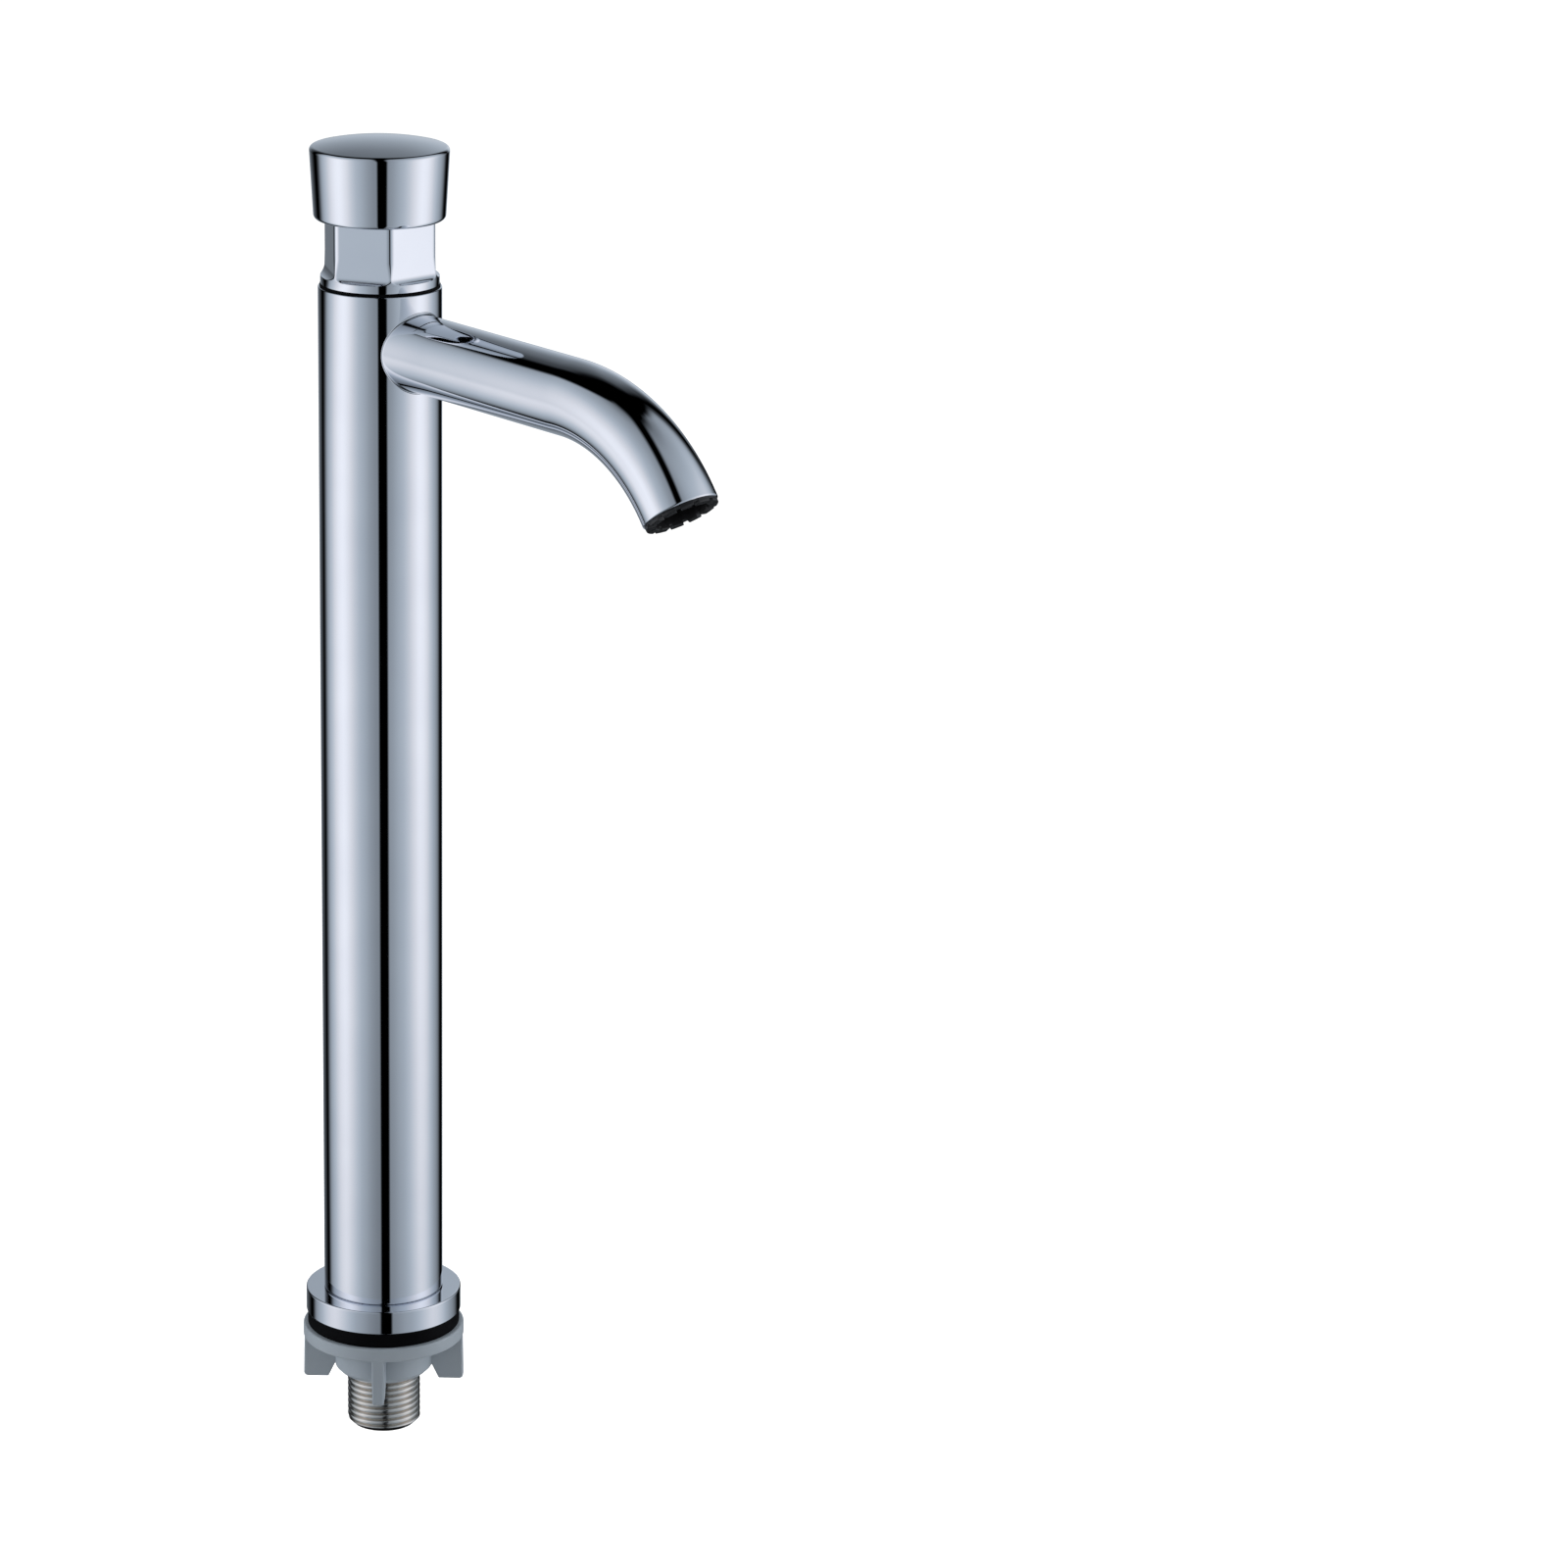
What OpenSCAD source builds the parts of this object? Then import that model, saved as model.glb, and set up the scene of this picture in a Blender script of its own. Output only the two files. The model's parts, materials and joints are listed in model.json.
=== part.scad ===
// Tall push-button timed tap: a tubular column with a down-turned spout, a sprung push cap over a
// water-damped cartridge, and a threaded inlet shank that a winged backnut clamps to the deck.
// Millimetres. +Z is up, the spout points to -Y, and Z = 0 is the deck under the gasket.

/* [Column] */
// Outside diameter of the column tube
column_d = 34; // [33:0.5:42]
// Wall of the column tube
column_wall = 1.5; // [1.2:0.1:2.2]
// Height of the column's top edge above the deck
column_top = 304.3; // [180:0.1:420]
// Bevel on both ends of the column tube
column_edge = 0.4; // [0.2:0.1:0.8]

/* [Base] */
// Diameter of the base flange
flange_d = 44.4; // [42:0.2:60]
// Height of the base flange
flange_h = 6.8; // [5:0.1:12]
// Rounding of the flange's upper edge
flange_edge = 0.6; // [0.3:0.1:2]
// Reach of the flange's spigot up inside the column
spigot_h = 10; // [6:1:20]
// Thickness of the deck gasket
gasket_h = 4.3; // [2:0.1:6]
// Step from the flange's rim back to the gasket's rim
gasket_inset = 0.4; // [0.2:0.1:1.5]

/* [Inlet shank] */
// Outside diameter of the inlet thread, half-inch pipe size
thread_d = 20.955; // [19:0.005:24]
// Waterway through the shank
inlet_bore_d = 15; // [10:0.5:15.5]
// Reach of the shank below the deck
shank_reach = 31.2; // [28:0.2:60]
// Bevel on the shank's lower end
shank_bevel = 0.8; // [0.4:0.1:1.2]
// Width of the relief groove between the clamping thread and the hose thread
relief_w = 1.2; // [1:0.1:2]
// Depth of the relief groove
relief_depth = 0.6; // [0.3:0.1:1]

/* [Backnut] */
// Diameter of the backnut's disc
nut_d = 46.2; // [42:0.2:60]
// Thickness of the backnut's disc
nut_disc_h = 4; // [3:0.2:6]
// Wall of the backnut's hub outside the thread
hub_wall = 3.2; // [2.2:0.1:5]
// Height of the backnut from its top to the hub's lower end
hub_h = 14.8; // [11:0.1:20]
// Bevel round the hub's lower end
hub_bevel = 1.5; // [0.5:0.1:2]
// Number of wings
wing_count = 4; // [3:1:6]
// Reach of the wings below the nut's top
wing_reach = 17.5; // [16:0.1:24]
// Thickness of a wing where it leaves the disc
wing_root_t = 3.8; // [3:0.1:6]
// Thickness of a wing at its lower edge
wing_tip_t = 3.2; // [2:0.1:3.8]
// Distance from the hub to where a wing's lower edge starts
wing_toe = 2; // [1:0.2:4]

/* [Spout] */
// Outside diameter of the spout tube
spout_d = 21.3; // [18:0.1:24]
// Wall of the spout tube
spout_wall = 2.2; // [1.8:0.1:3]
// Drop from the column's top to where the spout's axis meets the column's axis
spout_drop = 15.7; // [13:0.1:24]
// Downward slope of the spout's straight run, in degrees
spout_slope = 1.5; // [0:0.5:12]
// Length of the straight run from the column's axis
spout_run = 77.8; // [50:0.1:160]
// Radius of the spout's bend
spout_bend = 52; // [30:1:90]
// Downward slope at the mouth, in degrees
mouth_slope = 54.5; // [40:0.5:90]
// Length of the straight nose after the bend
nose_len = 2; // [1:0.2:16]

/* [Aerator] */
// Depth of the aerator's seat, measured in from the mouth
aerator_seat_depth = 7; // [6.4:0.2:10]
// Wall left round the aerator's seat in the nose
nose_wall = 1.3; // [1:0.1:1.6]
// Thickness of the aerator's washer
washer_h = 1.2; // [0.8:0.1:2]
// How far the aerator stands proud of the mouth
aerator_proud = 1.2; // [1.2:0.1:4]
// Wall of the aerator's housing
aerator_wall = 1.7; // [1.2:0.1:2.2]
// Step from the spout's side back to the aerator's collar
aerator_collar_step = 0.4; // [0.2:0.1:1]
// Number of key notches in the aerator's collar
notch_count = 12; // [4:1:14]
// Width of a key notch
notch_w = 1.4; // [0.8:0.1:3]
// Depth of a key notch
notch_depth = 0.9; // [0.4:0.1:1.2]
// Radius of one jet hole in the aerator's screen
jet_r = 0.75; // [0.4:0.05:0.9]

/* [Bonnet] */
// Thickness of the gasket between the column and the bonnet
bonnet_gasket_h = 0.7; // [0.4:0.1:1.5]
// Step from the column's side back to the bonnet's collar
collar_step = 0.65; // [0.3:0.05:1.5]
// Height of the bonnet's collar
collar_h = 2; // [1.5:0.1:4]
// Height of the taper from the collar to the neck
taper_h = 6; // [3:0.5:8]
// Step from the collar to the neck's turned corners
neck_step = 0.5; // [0.2:0.1:1]
// Depth of the six flats below the neck's turned corners
flat_depth = 1.85; // [1:0.05:2.2]
// Radius of the run-out at the foot of each flat
flat_runout = 2; // [1:0.5:4]
// Rise from the collar's top to where the run-outs start
flat_rise = 0.3; // [0.3:0.1:2]
// Thickness of the bonnet's web round the stem
web_t = 6; // [5.5:0.5:9]

/* [Push cap] */
// Height of the neck that shows between the bonnet's seat and the cap
neck_show = 17.9; // [16:0.1:28]
// Height of the cap from its lower edge to its rim
cap_h = 19.7; // [18:0.1:30]
// Rise of the cap's dome above its rim
cap_dome = 2.4; // [1.5:0.1:7]
// Gap between the neck and the cap's skirt
cap_gap = 0.75; // [0.4:0.05:1.2]
// Wall of the cap's skirt at its lower edge
cap_wall = 1.45; // [1.2:0.05:3]
// How much the cap's rim is wider than its lower edge, on the radius
cap_flare = 1.13; // [0:0.05:3]
// Rounding of the cap's lower edge
cap_lip = 1.4; // [0.6:0.1:1.4]
// Depth of the cap's flat ceiling below the rim
cap_roof = 0.6; // [0.4:0.1:3]
// Push travel of the cap
push_travel = 9; // [5:0.5:11]

/* [Cartridge] */
// Diameter of the stem
stem_d = 6; // [5:0.2:7]
// Step down from the stem to its thinner lower part, on the radius
stem_step = 0.5; // [0.3:0.1:0.8]
// Bore of the timing sleeve
sleeve_bore_d = 17.2; // [16:0.2:18.4]
// Wall of the timing sleeve
sleeve_wall = 1.9; // [1.6:0.1:2.4]
// Gap between the sleeve and the valve chamber, where the water leaves
outlet_gap = 2.2; // [1.2:0.1:2.6]
// Number of water windows in the sleeve
window_count = 6; // [3:1:8]
// Width of a water window
window_w = 4.5; // [2:0.5:5]
// Height of a water window
window_h = 9; // [4:0.5:10]
// Radius of the valve seat's opening
seat_r = 5; // [4:0.2:6]
// Width of the valve seat's lip
lip_w = 1.2; // [0.8:0.1:1.8]
// Thickness of the valve washer
valve_washer_h = 2.4; // [1.6:0.1:3.6]

/* [Return spring] */
// Wire of the return spring
wire_d = 1.6; // [1.2:0.1:2]
// Mean diameter of the return spring
spring_d = 18; // [16:0.5:19]
// Number of working coils
spring_coils = 6; // [3:1:7]

/* [Hidden] */
$fn = 96;

// Clearances
overcut = 1;
fit_gap = 0.05;
seal_gap = 0.1;
thread_gap = 0.3;
saddle_gap = 0.02;
// The straight runs of the spout are a hair thinner than its bend and lap into it
lap_len = 0.5;
lap_step = 0.02;

// Column and base
column_r = column_d / 2;
column_bore_r = column_r - column_wall;
flange_r = flange_d / 2;
flange_top = gasket_h + flange_h;
thread_r = thread_d / 2;
inlet_bore_r = inlet_bore_d / 2;
shank_shoulder = 1.4;
shank_spigot_r = thread_r - shank_shoulder;
socket_cover = 1;
shank_spigot_h = flange_h - socket_cover;
relief_head = relief_w / 2 - hub_h;
relief_foot = relief_head - relief_w;

// Backnut
nut_r = nut_d / 2;
nut_edge = 0.6;
nut_bore_r = thread_r + thread_gap;
hub_r = nut_bore_r + hub_wall;
wing_corner = 1;
wing_first_angle = 45;

// Spout, drawn in the XZ plane and then turned to the front
spout_r = spout_d / 2;
spout_bore_r = spout_r - spout_wall;
spout_z = column_top - spout_drop;
bend_from = [spout_run * cos(spout_slope), spout_z - spout_run * sin(spout_slope)];
bend_centre = bend_from - spout_bend * [sin(spout_slope), cos(spout_slope)];
bend_to = bend_centre + spout_bend * [sin(mouth_slope), cos(mouth_slope)];
mouth = bend_to + nose_len * [cos(mouth_slope), -sin(mouth_slope)];
mouth_edge = 0.3;
seat_floor = mouth - aerator_seat_depth * [cos(mouth_slope), -sin(mouth_slope)];
seat_in_nose_r = spout_r - nose_wall;
aerator_r = seat_in_nose_r - seal_gap;
aerator_bore_r = aerator_r - aerator_wall;
aerator_collar_r = spout_r - aerator_collar_step;
aerator_front = aerator_seat_depth + aerator_proud;
screen_h = 1.4;
screen_inset = 2.6;
screen_rim = 0.6;

// Bonnet
bonnet_seat = column_top + bonnet_gasket_h;
collar_r = column_r - collar_step;
neck_r = collar_r - neck_step;
flat_r = neck_r - flat_depth;
taper_foot = bonnet_seat + collar_h;
taper_head = taper_foot + taper_h;
runout_left = max(flat_runout - (collar_r - flat_r), 0);
runout_depth = sqrt(pow(flat_runout, 2) - pow(runout_left, 2));
flat_foot = taper_foot + flat_rise + runout_depth;
flat_count = 6;
web_bottom = column_top;
web_top = web_bottom + web_t;
neck_bevel = 0.8;

// Push cap
cap_foot = bonnet_seat + neck_show;
cap_rim = cap_foot + cap_h;
cap_top = cap_rim + cap_dome;
cap_bore_r = neck_r + cap_gap;
cap_foot_r = cap_bore_r + cap_wall;
cap_rim_r = cap_foot_r + cap_flare;
dome_r = (pow(cap_rim_r, 2) + pow(cap_dome, 2)) / (2 * cap_dome);
cap_ceiling = cap_rim - cap_roof;
cap_side_angle = atan2(cap_flare, cap_h);
top_stop_gap = 1.5;
neck_top = cap_ceiling - push_travel - top_stop_gap;
boss_h = 7.5;
boss_wall = 2.5;
socket_roof = 1;

// Stem, sealed in a bush in the bonnet's web
stem_r = stem_d / 2;
stem_thin_r = stem_r - stem_step;
stem_top = cap_ceiling - socket_roof;
oring_d = 1.8;
bush_wall = 3.2;
bush_r = stem_r + bush_wall;
bush_ledge = 1.4;
clip_t = 0.8;
clip_w = 1.6;
clip_bite = 0.7;
clip_mouth = 3;
bush_foot = web_bottom + bush_ledge;
bush_head = web_top - clip_t - 2 * fit_gap;

// Valve chamber and timing sleeve
sleeve_r = sleeve_bore_d / 2 + sleeve_wall;
sleeve_bore_r = sleeve_bore_d / 2;
chamber_r = column_bore_r - fit_gap;
chamber_bore_r = sleeve_r + outlet_gap;
port_r = 7.5;
port_clear = 0.2;
outlet_depth = 6.4;
port_z = spout_z - column_bore_r * tan(spout_slope);
barrel_foot = port_z + port_r + port_clear;
barrel_r = chamber_bore_r - fit_gap;
partition_top = port_z - port_r - outlet_depth;
partition_h = 6;
partition_foot = partition_top - partition_h;
ledge_h = 1.5;
ledge_w = 1.2;
sleeve_foot = partition_foot + ledge_h;
sleeve_floor_h = 4;
sleeve_floor = sleeve_foot + sleeve_floor_h;
sleeve_head = web_bottom - fit_gap;
window_rise = 2;
lip_h = 0.6;
seat_z = sleeve_foot - lip_h;
sleeve_oring_d = 1.4;
sleeve_oring_z = (sleeve_foot + partition_top) / 2;
chamber_oring_d = 2;
chamber_oring_z = (partition_foot + partition_top) / 2;

// Piston and its cup
timing_room = 5.5;
piston_top = web_bottom - timing_room;
piston_h = 4;
piston_foot = piston_top - piston_h;
piston_r = sleeve_bore_r - 3 * seal_gap;
cup_h = 3.2;
cup_wall = 0.9;
spigot_wall = 2.6;
spigot_r = stem_r + spigot_wall;
spigot_top = piston_top + cup_h + seal_gap;
snap_rim = 0.5;
snap_rim_top = spigot_top + snap_rim;
needle_r = 0.4;
needle_offset = stem_r + spigot_wall / 2;
needle_hole_r = needle_r + seal_gap;

// Valve on the stem's lower end
washer_margin = 1.4;
valve_r = seat_r + lip_w + washer_margin;
valve_bolt_r = stem_thin_r - stem_step;
valve_disc_h = 2;
valve_cup_h = 1.4;
valve_cup_wall = 0.9;
valve_cup_r = valve_r + fit_gap;
valve_hole_r = valve_bolt_r + fit_gap;
valve_nut_h = 3.2;
valve_nut_r = 4.4;
disc_top = seat_z - valve_washer_h;
disc_foot = disc_top - valve_disc_h;
stem_tail = 1;
stem_foot = disc_foot - valve_nut_h - stem_tail;

// Return spring
spring_r = spring_d / 2;
wire_r = wire_d / 2;
spring_room = 1;
spring_pocket_r = spring_r + wire_r + spring_room;
spring_foot = web_top + fit_gap;
spring_head = cap_ceiling - fit_gap;
closed_gap = 0.45;
end_pitch = wire_d + closed_gap;
spring_rise = spring_head - spring_foot - wire_d;
work_pitch = (spring_rise - 2 * end_pitch) / spring_coils;
spring_turns = spring_coils + 2;
rings_per_turn = 12;
wire_sides = 6;

// Colours
chrome = [0.80, 0.82, 0.86];
brass = [0.78, 0.64, 0.36];
steel = [0.66, 0.66, 0.64];
black_rubber = [0.05, 0.05, 0.06];
grey_plastic = [0.52, 0.55, 0.60];
black_plastic = [0.08, 0.08, 0.09];
white_plastic = [0.90, 0.90, 0.87];

// Points along an arc, from one angle to another
function arc(centre, r, from, to, steps = 8) =
    [for (i = [0:steps])
        let (angle = from + (to - from) * i / steps)
        centre + r * [cos(angle), sin(angle)]];

// Plain ring that stands on a height
module ring(z, h, r_out, r_in) {
    translate([0, 0, z])
        difference() {
            cylinder(h = h, r = r_out);
            translate([0, 0, -overcut])
                cylinder(h = h + 2 * overcut, r = r_in);
        }
}

// Cylinder that stands on a height
module post(z, h, r) {
    translate([0, 0, z])
        cylinder(h = h, r = r);
}

// Seal of round section
module oring(z, r_mid, d) {
    translate([0, 0, z])
        rotate_extrude()
            translate([r_mid, 0])
                circle(d = d, $fn = 32);
}

// Turns what is drawn towards +X to the front
module to_front() {
    rotate([0, 0, -90])
        children();
}

// Frame whose Z runs out along the spout's axis from a point in the XZ plane
module along_spout(point, slope) {
    translate([point[0], 0, point[1]])
        rotate([0, 90 + slope, 0])
            children();
}

// Straight bore from the column's axis along the spout
module spout_port(r) {
    to_front()
        along_spout([0, spout_z], spout_slope)
            cylinder(h = column_r + spout_r, r = r);
}

module column_tube() {
    color(chrome)
        difference() {
            rotate_extrude()
                polygon([
                    [column_bore_r, flange_top],
                    [column_r - column_edge, flange_top],
                    [column_r, flange_top + column_edge],
                    [column_r, column_top - column_edge],
                    [column_r - column_edge, column_top],
                    [column_bore_r, column_top]
                ]);
            spout_port(spout_bore_r);
        }
}

module base_flange() {
    socket_r = shank_spigot_r + fit_gap;
    socket_top = gasket_h + shank_spigot_h;
    spigot_r_out = column_bore_r - fit_gap;
    edge_centre = [flange_r - flange_edge, flange_top - flange_edge];
    color(chrome)
        rotate_extrude()
            polygon(concat(
                [[socket_r, gasket_h], [flange_r, gasket_h]],
                arc(edge_centre, flange_edge, 0, 90),
                [
                    [spigot_r_out, flange_top],
                    [spigot_r_out, flange_top + spigot_h],
                    [inlet_bore_r, flange_top + spigot_h],
                    [inlet_bore_r, socket_top],
                    [socket_r, socket_top]
                ]
            ));
}

module base_gasket() {
    color(black_rubber)
        ring(0, gasket_h, flange_r - gasket_inset, thread_r + thread_gap);
}

module inlet_shank() {
    color(steel)
        rotate_extrude()
            polygon([
                [inlet_bore_r, -shank_reach],
                [thread_r - shank_bevel, -shank_reach],
                [thread_r, shank_bevel - shank_reach],
                [thread_r, relief_foot],
                [thread_r - relief_depth, relief_foot],
                [thread_r - relief_depth, relief_head],
                [thread_r, relief_head],
                [thread_r, gasket_h],
                [shank_spigot_r, gasket_h],
                [shank_spigot_r, gasket_h + shank_spigot_h],
                [inlet_bore_r, gasket_h + shank_spigot_h]
            ]);
}

// Outline of one wing, seen from its side, with its height measured down from the nut's top
module wing_outline() {
    toe_r = hub_r + wing_toe;
    inside_r = nut_bore_r + hub_wall / 2;
    mid_disc = -nut_disc_h / 2;
    corner = [nut_r - wing_corner, wing_corner - wing_reach];
    polygon(concat(
        [[inside_r, mid_disc], [nut_r - nut_edge, mid_disc], [nut_r, mid_disc - nut_edge]],
        arc(corner, wing_corner, 0, -90, 4),
        [[toe_r, -wing_reach], [hub_r, -hub_h], [inside_r, -hub_h + hub_bevel]]
    ));
}

// Draft of a wing, seen along the radius
module wing_section() {
    polygon([
        [-wing_root_t / 2, 0], [wing_root_t / 2, 0],
        [wing_tip_t / 2, -wing_reach], [-wing_tip_t / 2, -wing_reach]
    ]);
}

module wing() {
    intersection() {
        rotate([90, 0, 0])
            linear_extrude(wing_root_t + overcut, center = true)
                wing_outline();
        rotate([90, 0, 90])
            linear_extrude(nut_r + overcut)
                wing_section();
    }
}

module backnut() {
    color(grey_plastic)
        union() {
            rotate_extrude()
                polygon([
                    [nut_bore_r, 0],
                    [nut_r - nut_edge, 0],
                    [nut_r, -nut_edge],
                    [nut_r, -nut_disc_h],
                    [hub_r, -nut_disc_h],
                    [hub_r, hub_bevel - hub_h],
                    [hub_r - hub_bevel, -hub_h],
                    [nut_bore_r, -hub_h]
                ]);
            for (i = [0:wing_count - 1])
                rotate([0, 0, wing_first_angle + i * 360 / wing_count])
                    wing();
        }
}

// Straight run of the spout's tube, from the column's axis into the bend
module spout_straight() {
    along_spout([0, spout_z], spout_slope)
        ring(0, spout_run + lap_len, spout_r - lap_step, spout_bore_r + lap_step);
}

module spout_elbow() {
    translate([bend_centre[0], 0, bend_centre[1]])
        rotate([90, 0, 0])
            rotate([0, 0, 90 - mouth_slope])
                rotate_extrude(angle = mouth_slope - spout_slope)
                    translate([spout_bend, 0])
                        difference() {
                            circle(spout_r);
                            circle(spout_bore_r);
                        }
}

// Straight nose with a bevelled rim
module spout_nose() {
    nose_r = spout_r - lap_step;
    nose_bore_r = spout_bore_r + lap_step;
    along_spout(bend_to, mouth_slope)
        rotate_extrude()
            polygon([
                [nose_bore_r, -lap_len],
                [nose_r, -lap_len],
                [nose_r, nose_len - mouth_edge],
                [nose_r - mouth_edge, nose_len],
                [nose_bore_r, nose_len]
            ]);
}

module spout_tube() {
    color(chrome)
        difference() {
            to_front() {
                spout_straight();
                spout_elbow();
                spout_nose();
            }
            post(flange_top, column_top, column_r + saddle_gap);
            in_nose()
                cylinder(h = aerator_seat_depth + overcut, r = seat_in_nose_r);
        }
}

// Places a piece in the nose, with Z running out from the floor of the aerator's seat
module in_nose() {
    to_front()
        along_spout(seat_floor, mouth_slope)
            children();
}

module aerator_housing() {
    color(black_plastic)
        in_nose()
            difference() {
                rotate_extrude()
                    polygon([
                        [aerator_bore_r, washer_h],
                        [aerator_r, washer_h],
                        [aerator_r, aerator_seat_depth],
                        [aerator_collar_r, aerator_seat_depth],
                        [aerator_collar_r, aerator_front],
                        [aerator_bore_r, aerator_front]
                    ]);
                for (i = [0:notch_count - 1])
                    rotate([0, 0, (i + 0.5) * 360 / notch_count])
                        translate([0, -notch_w / 2, aerator_front - notch_depth])
                            cube([aerator_collar_r + overcut, notch_w, notch_depth + overcut]);
            }
}

module aerator_screen() {
    jet_pitch = (aerator_bore_r - screen_rim - jet_r) / 3;
    color(black_plastic)
        in_nose()
            translate([0, 0, aerator_seat_depth - screen_inset - screen_h])
                difference() {
                    cylinder(h = screen_h, r = aerator_bore_r - fit_gap);
                    for (row = [0:3])
                        for (i = [0:max(6 * row, 1) - 1])
                            rotate([0, 0, i * 360 / max(6 * row, 1)])
                                translate([row * jet_pitch, 0, -overcut])
                                    cylinder(h = screen_h + 2 * overcut, r = jet_r, $fn = 24);
                }
}

module aerator_washer() {
    color(black_rubber)
        in_nose()
            ring(0, washer_h, aerator_r, spout_bore_r - seal_gap);
}

module valve_chamber() {
    groove_foot = chamber_oring_z - chamber_oring_d / 2;
    groove_head = groove_foot + chamber_oring_d;
    chamber_top = column_top - fit_gap;
    color(brass)
        difference() {
            rotate_extrude()
                polygon([
                    [sleeve_r - ledge_w, partition_foot],
                    [chamber_r, partition_foot],
                    [chamber_r, groove_foot],
                    [chamber_r - chamber_oring_d, groove_foot],
                    [chamber_r - chamber_oring_d, groove_head],
                    [chamber_r, groove_head],
                    [chamber_r, chamber_top],
                    [chamber_bore_r, chamber_top],
                    [chamber_bore_r, partition_top],
                    [sleeve_r + fit_gap, partition_top],
                    [sleeve_r + fit_gap, sleeve_foot],
                    [sleeve_r - ledge_w, sleeve_foot]
                ]);
            spout_port(port_r);
        }
}

module chamber_oring() {
    color(black_rubber)
        oring(chamber_oring_z, chamber_r - chamber_oring_d / 2, chamber_oring_d - 2 * fit_gap);
}

module timing_sleeve() {
    groove_foot = sleeve_oring_z - sleeve_oring_d / 2;
    groove_head = groove_foot + sleeve_oring_d;
    color(brass)
        difference() {
            rotate_extrude()
                polygon([
                    [seat_r, seat_z],
                    [seat_r + lip_w, seat_z],
                    [seat_r + lip_w, sleeve_foot],
                    [sleeve_r, sleeve_foot],
                    [sleeve_r, groove_foot],
                    [sleeve_r - sleeve_oring_d, groove_foot],
                    [sleeve_r - sleeve_oring_d, groove_head],
                    [sleeve_r, groove_head],
                    [sleeve_r, sleeve_head],
                    [sleeve_bore_r, sleeve_head],
                    [sleeve_bore_r, sleeve_floor],
                    [seat_r, sleeve_floor]
                ]);
            for (i = [0:window_count - 1])
                rotate([0, 0, (i + 0.5) * 360 / window_count - 90])
                    translate([0, -window_w / 2, sleeve_floor + window_rise])
                        cube([sleeve_r + overcut, window_w, window_h]);
        }
}

module sleeve_oring() {
    color(black_rubber)
        oring(sleeve_oring_z, sleeve_r - sleeve_oring_d / 2, sleeve_oring_d - 2 * fit_gap);
}

// Cutter for one flat, with a round run-out at its foot
module flat_cutter() {
    cutter_w = flat_runout + collar_r - flat_r;
    rotate([90, 0, 0])
        linear_extrude(2 * collar_r, center = true)
            translate([flat_r, flat_foot]) {
                square([cutter_w, neck_top - flat_foot + overcut]);
                intersection() {
                    translate([flat_runout, 0])
                        circle(flat_runout);
                    translate([0, -flat_runout])
                        square(flat_runout);
                }
                translate([flat_runout, -flat_runout])
                    square([cutter_w - flat_runout, flat_runout]);
            }
}

module bonnet() {
    clip_z = web_top - clip_t - fit_gap;
    color(chrome)
        difference() {
            rotate_extrude()
                polygon([
                    [stem_r + seal_gap, web_bottom],
                    [sleeve_r + fit_gap, web_bottom],
                    [sleeve_r + fit_gap, barrel_foot],
                    [barrel_r, barrel_foot],
                    [barrel_r, bonnet_seat],
                    [collar_r, bonnet_seat],
                    [collar_r, taper_foot],
                    [neck_r, taper_head],
                    [neck_r, neck_top - neck_bevel],
                    [neck_r - neck_bevel, neck_top],
                    [spring_pocket_r, neck_top],
                    [spring_pocket_r, web_top],
                    [stem_r + seal_gap, web_top]
                ]);
            post(bush_foot, web_t, bush_r + fit_gap);
            ring(clip_z - fit_gap, clip_t + 2 * fit_gap, bush_r + clip_bite + fit_gap, stem_r);
            for (i = [0:flat_count - 1])
                rotate([0, 0, (i + 0.5) * 360 / flat_count])
                    flat_cutter();
        }
}

module bonnet_gasket() {
    color(black_rubber)
        ring(column_top, bonnet_gasket_h, collar_r + collar_step / 4, barrel_r + thread_gap);
}

// Heights of the two seals in the stem's bush
function stem_oring_z(i) = bush_foot + (bush_head - bush_foot) * (i == 0 ? 0.25 : 0.75);

module stem_bush() {
    color(white_plastic)
        difference() {
            ring(bush_foot, bush_head - bush_foot, bush_r, stem_r + seal_gap);
            for (i = [0:1])
                ring(stem_oring_z(i) - oring_d / 2, oring_d, stem_r + seal_gap + oring_d, stem_r - overcut);
        }
}

module stem_orings() {
    color(black_rubber)
        for (i = [0:1])
            oring(stem_oring_z(i), stem_r + seal_gap + oring_d / 2, oring_d - 2 * fit_gap);
}

module bush_clip() {
    color(steel)
        difference() {
            ring(bush_head + fit_gap, clip_t, bush_r + clip_bite, bush_r - clip_w);
            translate([0, -clip_mouth / 2, bush_head])
                cube([bush_r + overcut, clip_mouth, clip_t + overcut]);
        }
}

module push_cap() {
    boss_foot = cap_ceiling - boss_h;
    lip_centre = [cap_foot_r - cap_lip, cap_foot + cap_lip];
    color(chrome)
        difference() {
            intersection() {
                rotate_extrude()
                    polygon(concat(
                        [[0, cap_foot]],
                        arc(lip_centre, cap_lip, -90, -cap_side_angle),
                        [[cap_rim_r, cap_rim], [cap_rim_r, cap_top + overcut], [0, cap_top + overcut]]
                    ));
                translate([0, 0, cap_top - dome_r])
                    sphere(dome_r);
            }
            difference() {
                post(cap_foot - overcut, cap_ceiling - cap_foot + overcut, cap_bore_r);
                post(boss_foot, boss_h + overcut, stem_r + boss_wall);
            }
            post(boss_foot - overcut, stem_top + fit_gap - boss_foot + overcut, stem_r + fit_gap);
        }
}

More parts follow.
